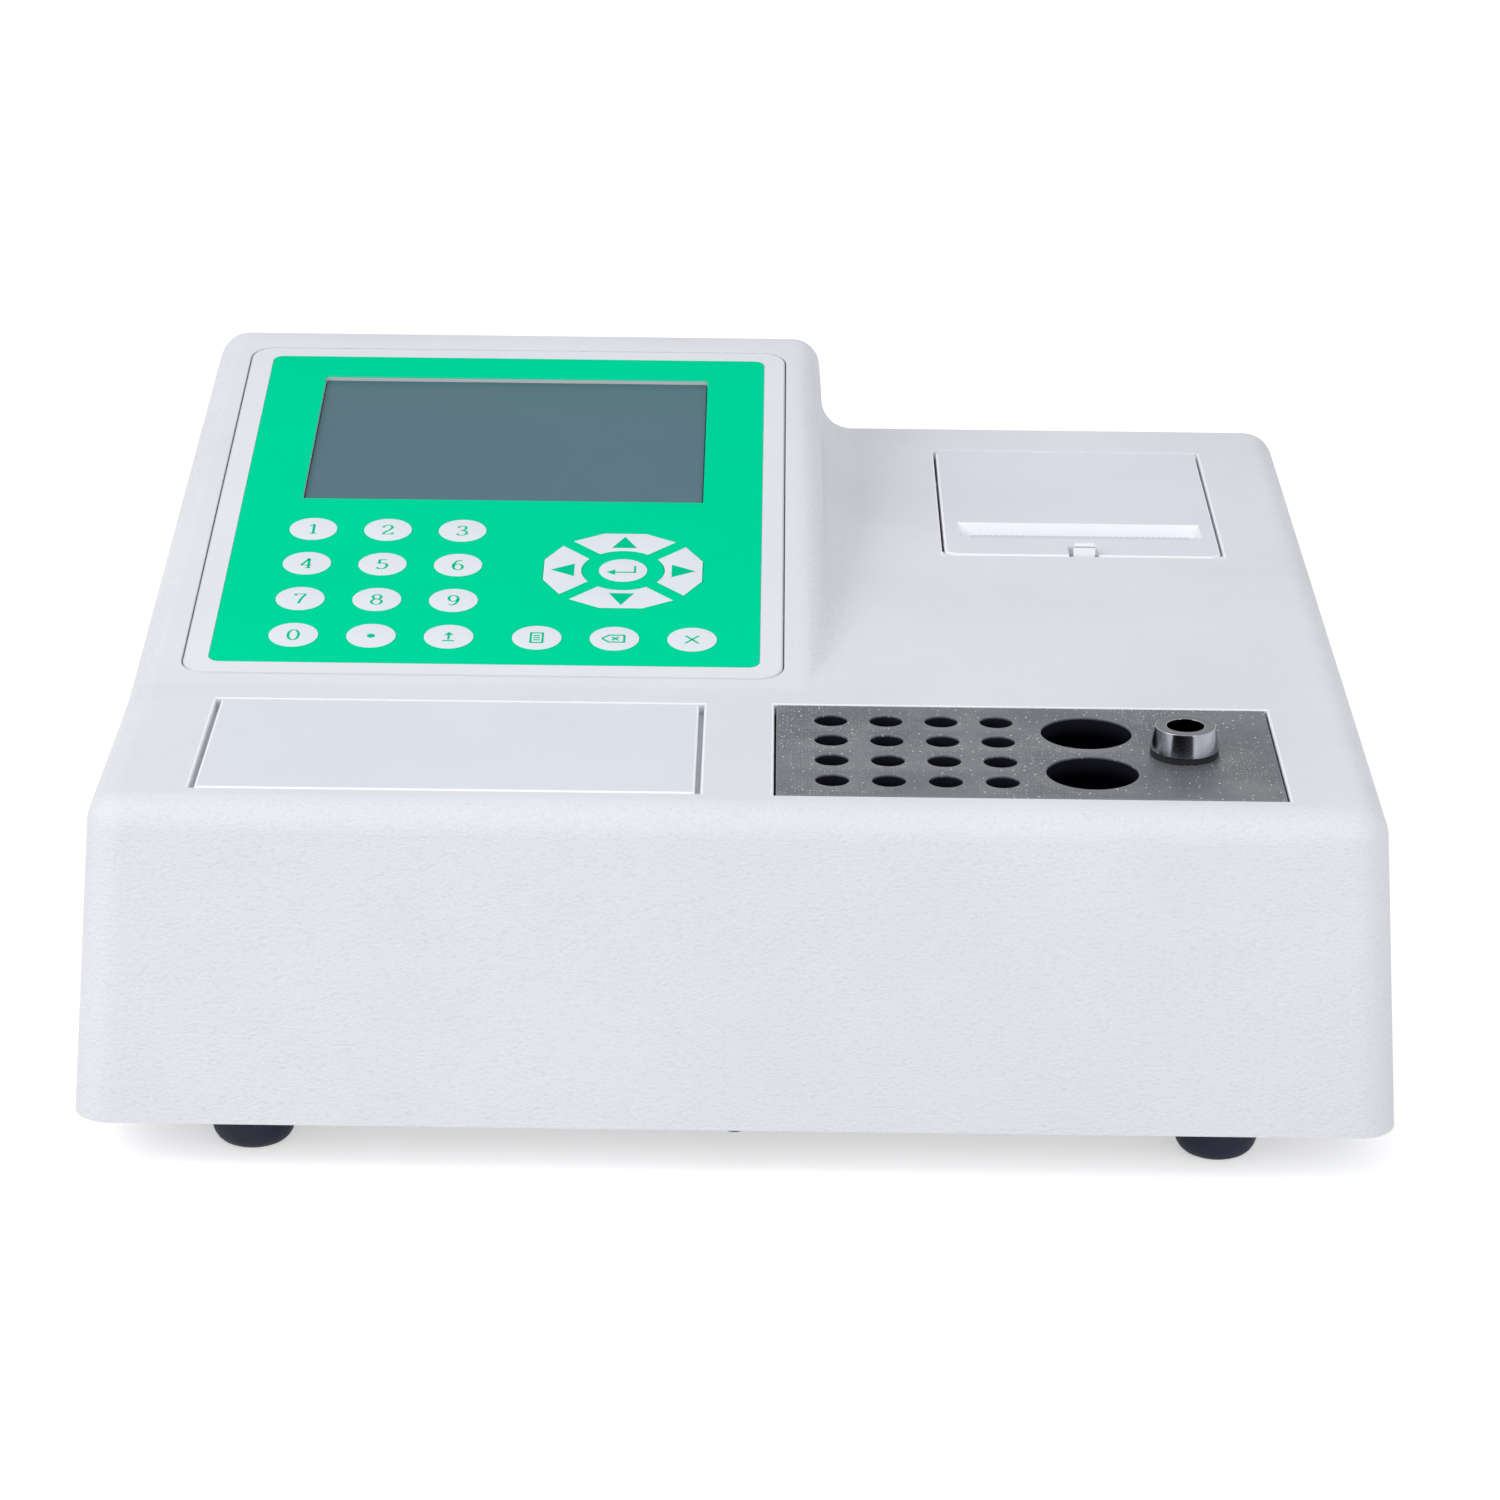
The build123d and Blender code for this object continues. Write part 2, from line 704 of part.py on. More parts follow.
# Heated block: four by four cuvette wells, two reagent wells and the measuring well.
cuvette_places = [
    (cuvette_first_x + i * cuvette_pitch, block_y + (j - (cuvette_count - 1) / 2) * cuvette_pitch)
    for i in range(cuvette_count)
    for j in range(cuvette_count)
]
reagent_places = [
    (reagent_x, block_y - reagent_pitch / 2),
    (reagent_x, block_y + reagent_pitch / 2),
]
light_z = block_top_z - light_depth
sensor_z = block_bottom_z + 7.0
with BuildPart() as incubator_block:
    with BuildSketch(Plane.XY.offset(block_bottom_z)):
        with Locations((block_x, block_y)):
            Rectangle(block_width, block_depth)
    extrude(amount=block_height)
    chamfer(incubator_block.faces().sort_by(Axis.Z)[-1].edges(), 0.4)
    for places, diameter, depth, sides in (
        (cuvette_places, cuvette_diameter, cuvette_depth, well_sides),
        (reagent_places, reagent_diameter, reagent_depth, 2 * well_sides),
        ([(measuring_x, block_y)], measuring_diameter, measuring_depth, well_sides),
    ):
        with BuildSketch(Plane.XY.offset(block_top_z)):
            with Locations(places):
                RegularPolygon(diameter / 2, sides)
        extrude(amount=-depth, mode=Mode.SUBTRACT)
    # Light path across the measuring well, from the front face to the rear face
    with BuildSketch(Plane.XZ.offset(-block_rear_y)):
        with Locations((measuring_x, light_z)):
            RegularPolygon(light_diameter / 2 + fit_gap, small_sides)
    extrude(amount=block_depth, mode=Mode.SUBTRACT)
    with BuildSketch(Plane.XZ.offset(-block_rear_y)):
        with Locations((block_x, sensor_z)):
            RegularPolygon(sensor_diameter / 2 + fit_gap, small_sides)
    extrude(amount=sensor_length + 1.0, mode=Mode.SUBTRACT)
write(incubator_block.part, "incubator_block")

# Measuring collar: a turned cone round the measuring well on a thin dark ring.
with BuildPart() as collar_ring:
    with BuildSketch(Plane.XY.offset(block_top_z)):
        with Locations((measuring_x, block_y)):
            RegularPolygon(collar_base / 2, 2 * well_sides)
            RegularPolygon(measuring_diameter / 2, well_sides, mode=Mode.SUBTRACT)
    extrude(amount=collar_ring_height)
write(collar_ring.part, "collar_ring")

with BuildPart() as measuring_collar:
    with BuildSketch(Plane.XZ):
        with BuildLine():
            Polyline(
                (measuring_diameter / 2, collar_ring_height),
                (collar_base / 2 - 0.1, collar_ring_height),
                (collar_top / 2, collar_height - 0.3),
                (collar_top / 2 - 0.3, collar_height),
                (measuring_diameter / 2 + 0.5, collar_height),
                (measuring_diameter / 2, collar_height - 0.5),
                close=True,
            )
        make_face()
    revolve(axis=Axis.Z)
write(Location((measuring_x, block_y, block_top_z)) * measuring_collar.part, "measuring_collar")

# Lamp and light detector, pushed into the light path from opposite faces of the block.
light_flange = 1.6
light_leads = ("light_source", block_front_y, -1), ("light_detector", block_rear_y, 1)
for light_name, face_y, inward in light_leads:
    with BuildPart() as light:
        with BuildSketch(Plane.XZ.offset(-face_y)):
            with Locations((measuring_x, light_z)):
                RegularPolygon(light_diameter / 2, small_sides)
        extrude(amount=light_length * inward)
        with BuildSketch(Plane.XZ.offset(-face_y)):
            with Locations((measuring_x, light_z)):
                RegularPolygon(light_diameter / 2 + 1.5, small_sides)
        extrude(amount=-light_flange * inward)
        for lead in (-1, 1):
            with BuildSketch(Plane.XZ.offset(-face_y + light_flange * inward)):
                with Locations((measuring_x + lead * 1.27, light_z)):
                    Rectangle(0.5, 0.5)
            extrude(amount=-2.4 * inward)
    write(light.part, light_name)

with BuildPart() as temperature_sensor:
    with BuildSketch(Plane.XZ.offset(-block_rear_y)):
        with Locations((block_x, sensor_z)):
            RegularPolygon(sensor_diameter / 2, small_sides)
    extrude(amount=sensor_length)
    with BuildSketch(Plane.XZ.offset(-block_rear_y)):
        with Locations((block_x, sensor_z)):
            RegularPolygon(sensor_diameter, 6)
    extrude(amount=-3.0)
write(temperature_sensor.part, "temperature_sensor")

# Heater pad between the block and the bracket that carries both.
with BuildPart() as heater_pad:
    with BuildSketch(Plane.XY.offset(block_bottom_z - heater_thickness)):
        with Locations((block_x, block_y)):
            Rectangle(block_width - 2 * pad_margin, block_depth - 2 * pad_margin)
    extrude(amount=heater_thickness)
write(heater_pad.part, "heater_pad")

bracket_top_z = block_bottom_z - heater_thickness
bracket_flange = 12.0
with BuildPart() as block_bracket:
    with BuildSketch(Plane.XZ.offset(-block_rear_y)):
        with BuildLine():
            left = block_x - block_width / 2
            right = block_x + block_width / 2
            Polyline(
                (left - bracket_flange, base_top_z + bracket_thickness / 2),
                (left + bracket_thickness / 2, base_top_z + bracket_thickness / 2),
                (left + bracket_thickness / 2, bracket_top_z - bracket_thickness / 2),
                (right - bracket_thickness / 2, bracket_top_z - bracket_thickness / 2),
                (right - bracket_thickness / 2, base_top_z + bracket_thickness / 2),
                (right + bracket_flange, base_top_z + bracket_thickness / 2),
            )
            offset(amount=bracket_thickness / 2, side=Side.BOTH, kind=Kind.INTERSECTION)
        make_face()
    extrude(amount=block_depth)
write(block_bracket.part, "block_bracket")

# Blank cover over the second block place, resting on the shell's ledge.
with BuildPart() as blank_cover:
    with BuildSketch(Plane.XY.offset(ledge_z)):
        with Locations((cover_x, block_y)):
            Rectangle(cover_opening_width - 2 * cover_side_gap, block_depth - 2 * cover_end_gap)
    extrude(amount=wall)
    fillet(blank_cover.faces().sort_by(Axis.Z)[-1].edges(), lip_radius)
write(blank_cover.part, "blank_cover")

# Printer frame: a moulded bucket under the deck with the paper trough at the rear and
# the pocket for the print mechanism at the front.
trough_z = frame_bottom_z + frame_wall + trough_radius
trough_width = paper_width + 2 * roll_side_gap
recess_depth = 11.0
swing_radius = bay_rear_y - hinge_y + 0.8
pocket_front_y = bay_front_y + 3.0
pocket_rear_y = roll_y - trough_radius - frame_wall
pocket_width = bay_opening_width - 2.0
frame_front_y = bay_front_y - frame_wall
frame_rear_y = bay_rear_y + 2.0 + frame_wall
with BuildPart() as printer_frame:
    with BuildSketch(Plane.XY.offset(frame_bottom_z)):
        with Locations((bay_x, (frame_front_y + frame_rear_y) / 2)):
            Rectangle(bay_opening_width + 2 * frame_wall, frame_rear_y - frame_front_y)
    extrude(amount=frame_depth)
    with BuildSketch(Plane.XY.offset(frame_top_z)):
        with Locations((bay_x, (bay_front_y + frame_rear_y - frame_wall) / 2)):
            Rectangle(bay_opening_width, frame_rear_y - frame_wall - bay_front_y)
    extrude(amount=-recess_depth, mode=Mode.SUBTRACT)
    # Paper trough with a round floor
    with BuildSketch(Plane.YZ.offset(bay_x - trough_width / 2)):
        with Locations((roll_y, trough_z)):
            Circle(trough_radius)
        with Locations((roll_y, (trough_z + frame_top_z) / 2)):
            Rectangle(2 * trough_radius, frame_top_z - trough_z)
    extrude(amount=trough_width, mode=Mode.SUBTRACT)
    # Room for the door's rear edge to swing down
    with BuildSketch(Plane.YZ.offset(bay_x - bay_opening_width / 2)):
        with Locations((hinge_y, hinge_z)):
            Circle(swing_radius)
    extrude(amount=bay_opening_width, mode=Mode.SUBTRACT)
    # Mechanism pocket and the paper pass above the wall behind it
    with BuildSketch(Plane.YZ.offset(bay_x - pocket_width / 2)):
        with BuildLine():
            Polyline(
                (pocket_front_y, frame_bottom_z + frame_wall),
                (pocket_rear_y, frame_bottom_z + frame_wall),
                (pocket_rear_y, frame_top_z),
                (pocket_front_y, frame_top_z),
                close=True,
            )
        make_face()
    extrude(amount=pocket_width, mode=Mode.SUBTRACT)
    with BuildSketch(Plane.XY.offset(frame_top_z)):
        with Locations((bay_x, roll_y - trough_radius)):
            Rectangle(trough_width, 4 * frame_wall)
    extrude(amount=-recess_depth - 8.0, mode=Mode.SUBTRACT)
    # Hinge pin holes through both side walls
    with BuildSketch(Plane.YZ.offset(bay_x - bay_opening_width)):
        with Locations((hinge_y, hinge_z)):
            Circle(hinge_pin_radius)
    extrude(amount=2 * bay_opening_width, mode=Mode.SUBTRACT)
write(printer_frame.part, "printer_frame")

# Printer door: flat plate with the paper slot's funnel, side skirts and hinge bosses.
door_width = bay_opening_width - 2 * door_side_gap
door_front_y = bay_front_y + door_front_gap
door_rear_y = bay_rear_y - door_rear_gap
door_length = door_rear_y - door_front_y
skirt_thickness = 2.0
skirt_depth = 5.0
skirt_front_y = bay_front_y + 8.0
mouth_center_y = slot_mouth_front_y + slot_mouth_length / 2
throat_center_y = slot_mouth_front_y + slot_throat_length / 2
skirt_places = [bay_x - door_width / 2, bay_x + door_width / 2 - skirt_thickness]
latch_x = bay_x + 0.2
latch_pin_z = deck_z - latch_drop
latch_y = bay_front_y + 0.3 + latch_thickness / 2
lug_thickness = 1.6
lug_gap = (latch_notch_width - latch_width) / 2
with BuildPart() as printer_door:
    with BuildSketch(Plane.XY.offset(deck_z - door_thickness)):
        with Locations((bay_x, door_front_y + door_length / 2)):
            Rectangle(door_width, door_length)
    extrude(amount=door_thickness)
    corners = printer_door.edges().filter_by(Axis.Z).group_by(Axis.Y)
    fillet(corners[0], door_corner)
    chamfer(corners[-1], 1.0)
    chamfer(printer_door.faces().sort_by(Axis.Z)[-1].edges(), 0.6)
    # Skirts with hinge bosses
    for skirt_x in skirt_places:
        with BuildSketch(Plane.YZ.offset(skirt_x)):
            with BuildLine():
                Polyline(
                    (skirt_front_y, deck_z - door_thickness),
                    (skirt_front_y + skirt_depth, deck_z - door_thickness - skirt_depth),
                    (hinge_y, deck_z - door_thickness - skirt_depth),
                    (hinge_y + hinge_boss_radius, deck_z - door_thickness),
                    close=True,
                )
            make_face()
            with Locations((hinge_y, hinge_z)):
                Circle(hinge_boss_radius)
        extrude(amount=skirt_thickness)
    # Lugs for the latch lever
    for side in (-1, 1):
        lug_x = latch_x + side * (latch_notch_width / 2 + lug_thickness / 2) - lug_thickness / 2
        with BuildSketch(Plane.YZ.offset(lug_x)):
            with BuildLine():
                Polyline(
                    (latch_y - 0.6, deck_z - door_thickness),
                    (latch_y - 0.6, latch_pin_z),
                    (latch_y + 3.4, latch_pin_z),
                    (latch_y + 6.0, deck_z - door_thickness),
                    close=True,
                )
            make_face()
            with Locations((latch_y + 0.6, latch_pin_z)):
                Circle(1.6)
        extrude(amount=lug_thickness)
    # Funnel walls, then the funnel itself
    with BuildSketch(Plane.XY.offset(deck_z - door_thickness)):
        with Locations((bay_x, mouth_center_y)):
            Rectangle(slot_mouth_width + 2 * slot_wall, slot_mouth_length + 2 * slot_wall)
    with BuildSketch(Plane.XY.offset(deck_z - slot_depth)):
        with Locations((bay_x, throat_center_y)):
            Rectangle(slot_throat_width + 2 * slot_wall, slot_throat_length + 2 * slot_wall)
    loft()
    with BuildSketch(Plane.XY.offset(deck_z)):
        with Locations((bay_x, mouth_center_y)):
            Rectangle(slot_mouth_width, slot_mouth_length)
    with BuildSketch(Plane.XY.offset(deck_z - slot_depth)):
        with Locations((bay_x, throat_center_y)):
            Rectangle(slot_throat_width, slot_throat_length)
    loft(mode=Mode.SUBTRACT)
    # Bed of the tear bar in the front lip
    with BuildSketch(Plane.XY.offset(deck_z)):
        with Locations((bay_x, slot_mouth_front_y - tear_bar_width / 2)):
            Rectangle(slot_throat_width + 2 * fit_gap, tear_bar_width + 2 * fit_gap)
    extrude(amount=-tear_bar_thickness, mode=Mode.SUBTRACT)
    # Latch notch in the front edge
    with BuildSketch(Plane.XY.offset(deck_z)):
        with Locations((latch_x, door_front_y + latch_notch_length / 2)):
            Rectangle(latch_notch_width, latch_notch_length)
    extrude(amount=-door_thickness, mode=Mode.SUBTRACT)
    # Running holes for the hinge pins and the latch pin
    with BuildSketch(Plane.YZ.offset(bay_x - door_width)):
        with Locations((hinge_y, hinge_z)):
            Circle(hinge_pin_radius + running_gap)
    extrude(amount=2 * door_width, mode=Mode.SUBTRACT)
    with BuildSketch(Plane.YZ.offset(latch_x - latch_notch_width)):
        with Locations((latch_y + 0.6, latch_pin_z)):
            Circle(latch_pin_radius)
    extrude(amount=2 * latch_notch_width, mode=Mode.SUBTRACT)
write(printer_door.part, "printer_door")

# Tear bar with a row of small teeth, let into the slot's front lip.
tooth_count = int(slot_throat_width / tooth_pitch)
with BuildPart() as tear_bar:
    with BuildSketch(Plane.XY.offset(deck_z - tear_bar_thickness)):
        with Locations((bay_x, slot_mouth_front_y - tear_bar_width / 2)):
            Rectangle(slot_throat_width, tear_bar_width)
        with Locations((bay_x, slot_mouth_front_y)):
            with GridLocations(tooth_pitch, 0, tooth_count, 1):
                Polygon(
                    (-tooth_pitch / 2, -fit_gap), (tooth_pitch / 2, -fit_gap), (0, tooth_depth), align=None
                )
    extrude(amount=tear_bar_thickness)
write(tear_bar.part, "tear_bar")

# Hinge pins: fixed in the frame's side walls, running in the door's bosses.
pin_length = frame_wall + door_side_gap + skirt_thickness
frame_left_x = bay_x - bay_opening_width / 2 - frame_wall
frame_right_x = bay_x + bay_opening_width / 2 + frame_wall
with BuildPart() as door_hinge_pins:
    for start_x in (frame_left_x, frame_right_x - pin_length):
        with BuildSketch(Plane.YZ.offset(start_x)):
            with Locations((hinge_y, hinge_z)):
                Circle(hinge_pin_radius)
        extrude(amount=pin_length)
write(door_hinge_pins.part, "door_hinge_pins")

# Latch: a lever that stands in the notch and rocks on its pin, with a small nose in front.
with BuildPart() as door_latch:
    with BuildSketch(Plane.YZ.offset(latch_x - latch_width / 2)):
        with BuildLine():
            Polyline(
                (latch_y - latch_thickness / 2, deck_z + latch_proud),
                (latch_y - latch_thickness / 2, latch_pin_z),
                (latch_y + latch_thickness / 2, latch_pin_z),
                (latch_y + latch_thickness / 2, deck_z + latch_proud),
                close=True,
            )
        make_face()
        with Locations((latch_y + 0.6, latch_pin_z)):
            Circle(1.7)
            Circle(latch_pin_radius + running_gap, mode=Mode.SUBTRACT)
    extrude(amount=latch_width)
    chamfer(door_latch.faces().sort_by(Axis.Z)[-1].edges(), 0.4)
write(door_latch.part, "door_latch")

latch_pin_length = latch_notch_width + 2 * lug_thickness
with BuildPart() as latch_pin:
    with BuildSketch(Plane.YZ.offset(latch_x - latch_pin_length / 2)):
        with Locations((latch_y + 0.6, latch_pin_z)):
            Circle(latch_pin_radius)
    extrude(amount=latch_pin_length)
write(latch_pin.part, "latch_pin")

# Print mechanism: steel chassis, platen roller and gear, motor and pinion, print head.
platen_z = deck_z - platen_drop
gear_distance = gear_module * (platen_teeth + pinion_teeth) / 2
motor_z = platen_z - gear_distance
chassis_inner = platen_length + 2.0
chassis_left_x = bay_x - chassis_inner / 2 - chassis_wall
chassis_right_x = bay_x + chassis_inner / 2
chassis_front_y = platen_y - chassis_front_reach
chassis_rear_y = platen_y + chassis_rear_reach
chassis_top_z = platen_z + chassis_top_reach
chassis_bottom_z = frame_bottom_z + frame_wall
with BuildPart() as print_chassis:
    with BuildSketch(Plane.XZ.offset(-chassis_rear_y)):
        with Locations((bay_x, (chassis_top_z + chassis_bottom_z) / 2)):
            Rectangle(chassis_inner + 2 * chassis_wall, chassis_top_z - chassis_bottom_z)
        with Locations((bay_x, (chassis_top_z + chassis_bottom_z) / 2 + chassis_wall)):
            Rectangle(chassis_inner, chassis_top_z - chassis_bottom_z, mode=Mode.SUBTRACT)
    extrude(amount=chassis_rear_y - chassis_front_y)
    with BuildSketch(Plane.YZ.offset(chassis_left_x - 1)):
        with Locations((platen_y, platen_z)):
            Circle(shaft_radius + running_gap)
    extrude(amount=chassis_inner + 2 * chassis_wall + 2, mode=Mode.SUBTRACT)
    with BuildSketch(Plane.YZ.offset(chassis_right_x - 1)):
        with Locations((platen_y, motor_z)):
            Circle(1.0 + running_gap)
    extrude(amount=chassis_wall + 2, mode=Mode.SUBTRACT)
write(print_chassis.part, "print_chassis")

with BuildPart() as platen_roller:
    with BuildSketch(Plane.YZ.offset(bay_x - platen_length / 2)):
        with Locations((platen_y, platen_z)):
            Circle(platen_radius)
    extrude(amount=platen_length)
    with BuildSketch(Plane.YZ.offset(chassis_left_x - 1.0)):
        with Locations((platen_y, platen_z)):
            Circle(shaft_radius)
    extrude(amount=chassis_right_x + chassis_wall + gear_gap + gear_width - chassis_left_x + 1.0)
write(platen_roller.part, "platen_roller")


def gear_outline(teeth, turn):
    """Spur gear with straight flanks: thinner than half the pitch, so it runs with play."""
    pitch_radius = gear_module * teeth / 2
    root_radius = pitch_radius - 1.2 * gear_module
    tip_radius = pitch_radius + 0.8 * gear_module
    root_angle = 0.65 * gear_module / root_radius
    tip_angle = 0.26 * gear_module / tip_radius
    corners = []
    for tooth in range(teeth):
        middle = radians(turn + 360.0 * tooth / teeth)
        for radius, angle in (
            (root_radius, middle - root_angle),
            (tip_radius, middle - tip_angle),
            (tip_radius, middle + tip_angle),
            (root_radius, middle + root_angle),
        ):
            corners.append((radius * cos(angle), radius * sin(angle)))
    with BuildSketch() as outline:
        Polygon(*corners, align=None)
    return outline.sketch


gear_x = chassis_right_x + chassis_wall + gear_gap
with BuildPart() as platen_gear:
    with BuildSketch(Plane.YZ.offset(gear_x)):
        with Locations((platen_y, platen_z)):
            add(gear_outline(platen_teeth, -90.0))
            Circle(shaft_radius, mode=Mode.SUBTRACT)
    extrude(amount=gear_width)
write(platen_gear.part, "platen_gear")

with BuildPart() as motor_pinion:
    with BuildSketch(Plane.YZ.offset(gear_x)):
        with Locations((platen_y, motor_z)):
            add(gear_outline(pinion_teeth, 90.0 + 180.0 / pinion_teeth))
    extrude(amount=gear_width)
    with BuildSketch(Plane.YZ.offset(chassis_right_x - 2.0)):
        with Locations((platen_y, motor_z)):
            Circle(1.0)
    extrude(amount=gear_x - chassis_right_x + 2.0)
write(motor_pinion.part, "motor_pinion")

with BuildPart() as printer_motor:
    with BuildSketch(Plane.YZ.offset(chassis_right_x - motor_length)):
        with Locations((platen_y, motor_z)):
            RegularPolygon(motor_radius, 2 * small_sides)
    extrude(amount=motor_length)
    with BuildSketch(Plane.YZ.offset(chassis_right_x)):
        with Locations((platen_y, motor_z)):
            Circle(1.0 + running_gap)
    extrude(amount=-3.0, mode=Mode.SUBTRACT)
write(printer_motor.part, "printer_motor")

head_y = platen_y + platen_radius + head_gap
with BuildPart() as print_head:
    with BuildSketch(Plane.YZ.offset(bay_x - chassis_inner / 2)):
        with BuildLine():
            Polyline(
                (head_y, platen_z - platen_radius),
                (head_y, platen_z + 0.8 * head_top_reach),
                (head_y + 0.2 * head_thickness, platen_z + head_top_reach),
                (head_y + head_thickness, platen_z + head_top_reach),
                (head_y + head_thickness, platen_z - head_bottom_reach),
                (head_y + 0.6 * head_thickness, platen_z - head_bottom_reach),
                close=True,
            )
        make_face()
    extrude(amount=chassis_inner)
write(print_head.part, "print_head")

# Paper roll on its core, lying in the trough.
roll_z = trough_z - trough_radius + roll_lift + roll_radius
with BuildPart() as paper_roll:
    with BuildSketch(Plane.YZ.offset(bay_x - paper_width / 2)):
        with Locations((roll_y, roll_z)):
            Circle(roll_radius)
            Circle(core_radius, mode=Mode.SUBTRACT)
    extrude(amount=paper_width)
write(paper_roll.part, "paper_roll")

# Main board on standoffs, and the power supply, on the base plate under the console.
board_side_gap = 9.0
board_frame_gap = 18.0
board_front_gap = 43.0
board_rear_gap = 62.25
supply_side_gap = 18.0
supply_rear_gap = 42.25
supply_width = 62.0
supply_length = 110.0
supply_height = 34.0
supply_x = -base_width / 2 + supply_side_gap + supply_width / 2
supply_y = half_depth - supply_rear_gap - supply_length / 2
board_left_x = supply_x + supply_width / 2 + board_side_gap
board_width = frame_left_x - board_frame_gap - board_left_x
board_x = board_left_x + board_width / 2
board_front_y = block_rear_y + board_front_gap
board_length = half_depth - board_rear_gap - board_front_y
board_y = board_front_y + board_length / 2
standoff_inset = 5.0
processor_size = 24.0
connector_length = 40.0
connector_width = 8.0
component_height = 3.0
board_z = base_top_z + standoff_height
with BuildPart() as board_standoffs:
    with BuildSketch(Plane.XY.offset(base_top_z)):
        with Locations((board_x, board_y)):
            with GridLocations(board_width - 2 * standoff_inset, board_length - 2 * standoff_inset, 2, 2):
                RegularPolygon(3.2, 6)
    extrude(amount=standoff_height)
write(board_standoffs.part, "board_standoffs")

with BuildPart() as main_board:
    with BuildSketch(Plane.XY.offset(board_z)):
        with Locations((board_x, board_y)):
            Rectangle(board_width, board_length)
    extrude(amount=board_thickness)
    with BuildSketch(Plane.XY.offset(board_z + board_thickness)):
        with Locations((board_x - board_width * 0.14, board_y + board_length * 0.07)):
            Rectangle(processor_size, processor_size)
        with Locations((board_x + board_width * 0.23, board_y + board_length * 0.2)):
            Rectangle(processor_size / 2, processor_size)
        with Locations((board_x - board_width * 0.18, board_y - board_length * 0.3)):
            Rectangle(connector_length, connector_width)
    extrude(amount=component_height)
write(main_board.part, "main_board")

with BuildPart() as power_supply:
    with BuildSketch(Plane.XY.offset(base_top_z)):
        with Locations((supply_x, supply_y)):
            Rectangle(supply_width, supply_length)
    extrude(amount=supply_height)
    chamfer(power_supply.edges().filter_by(Axis.Y), 2.0)
write(power_supply.part, "power_supply")

# Power inlet: flanged socket in the rear wall with three blades.
with BuildPart() as power_inlet:
    with BuildSketch(rear_face):
        with Locations((-inlet_x, inlet_z - foot_height)):
            RectangleRounded(inlet_flange_width, inlet_flange_height, 3.0)
    extrude(amount=flange_thickness)
    with BuildSketch(rear_face):
        with Locations((-inlet_x, inlet_z - foot_height)):
            Rectangle(inlet_width - 2 * cutout_gap, inlet_height - 2 * cutout_gap)
    extrude(amount=-inlet_depth)
    with BuildSketch(rear_face.offset(flange_thickness)):
        with Locations((-inlet_x, inlet_z - foot_height)):
            Polygon(
                (-12.0, -8.2), (12.0, -8.2), (12.0, 3.0), (7.5, 8.2), (-7.5, 8.2), (-12.0, 3.0), align=None
            )
    extrude(amount=-socket_depth, mode=Mode.SUBTRACT)
    with BuildSketch(rear_face.offset(flange_thickness - socket_depth)):
        with Locations((-inlet_x, inlet_z - foot_height)):
            with Locations((-7.0, -2.0), (7.0, -2.0), (0.0, 2.0)):
                Rectangle(2.0, 4.0)
    extrude(amount=blade_length)
write(power_inlet.part, "power_inlet")

# Power switch: housing in the rear wall and a rocker tilted to its off side.
switch_face = rear_face.location * Location((-switch_x, inlet_z - foot_height, 0))
with BuildPart() as switch_housing:
    with BuildSketch(Plane(switch_face)):
        Rectangle(switch_width + 1.4, switch_height + 1.2)
    extrude(amount=flange_thickness)
    with BuildSketch(Plane(switch_face)):
        Rectangle(switch_width - 2 * cutout_gap, switch_height - 2 * cutout_gap)
    extrude(amount=-switch_depth)
    with BuildSketch(Plane(switch_face).offset(flange_thickness)):
        Rectangle(rocker_width + 0.8, rocker_length + 1.4)
    extrude(amount=-9.0, mode=Mode.SUBTRACT)
write(switch_housing.part, "switch_housing")

rocker_axis = Plane(switch_face * Location((0, 0, -2.0), (switch_throw / 2, 0, 0)))
rocker_face = Plane(rocker_axis.origin, z_dir=rocker_axis.x_dir, x_dir=rocker_axis.y_dir)
with BuildPart() as switch_rocker:
    with BuildSketch(rocker_face):
        with BuildLine():
            Polyline(
                (-rocker_length / 2, -2.0),
                (rocker_length / 2, -2.0),
                (rocker_length / 2, 3.6),
                (0.0, 2.5),
                (-rocker_length / 2, 3.6),
                close=True,
            )
        make_face()
    extrude(amount=rocker_width / 2, both=True)
write(switch_rocker.part, "switch_rocker")

# Serial port: flange behind the rear wall, shell through its cut-out.
port_face = Plane(rear_face.location * Location((-port_x, port_z - foot_height, -wall)))
port_shell_width = port_width - 2 * cutout_gap
port_shell_height = port_height - 2 * cutout_gap
port_flange = 1.0
with BuildPart() as serial_port:
    with BuildSketch(port_face):
        Rectangle(31.0, 12.6)
    extrude(amount=-port_flange)
    with BuildSketch(port_face):
        Trapezoid(port_shell_width, port_shell_height, port_side_angle)
    extrude(amount=port_reach)
    with BuildSketch(port_face.offset(port_reach)):
        Trapezoid(port_shell_width - 1.0, port_shell_height - 1.0, port_side_angle)
        Trapezoid(port_shell_width - 2.6, port_shell_height - 2.6, port_side_angle, mode=Mode.SUBTRACT)
    extrude(amount=-4.0, mode=Mode.SUBTRACT)
    with BuildSketch(port_face.offset(-port_flange)):
        Rectangle(24.0, 10.0)
    extrude(amount=-9.0)
write(serial_port.part, "serial_port")
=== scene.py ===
"""Looks of a bench coagulation analyzer, laid out as an add-on and run as a script.

Every size is in metres in the casing's own frame: +Z up, -Y towards the user, origin on the bench.
"""

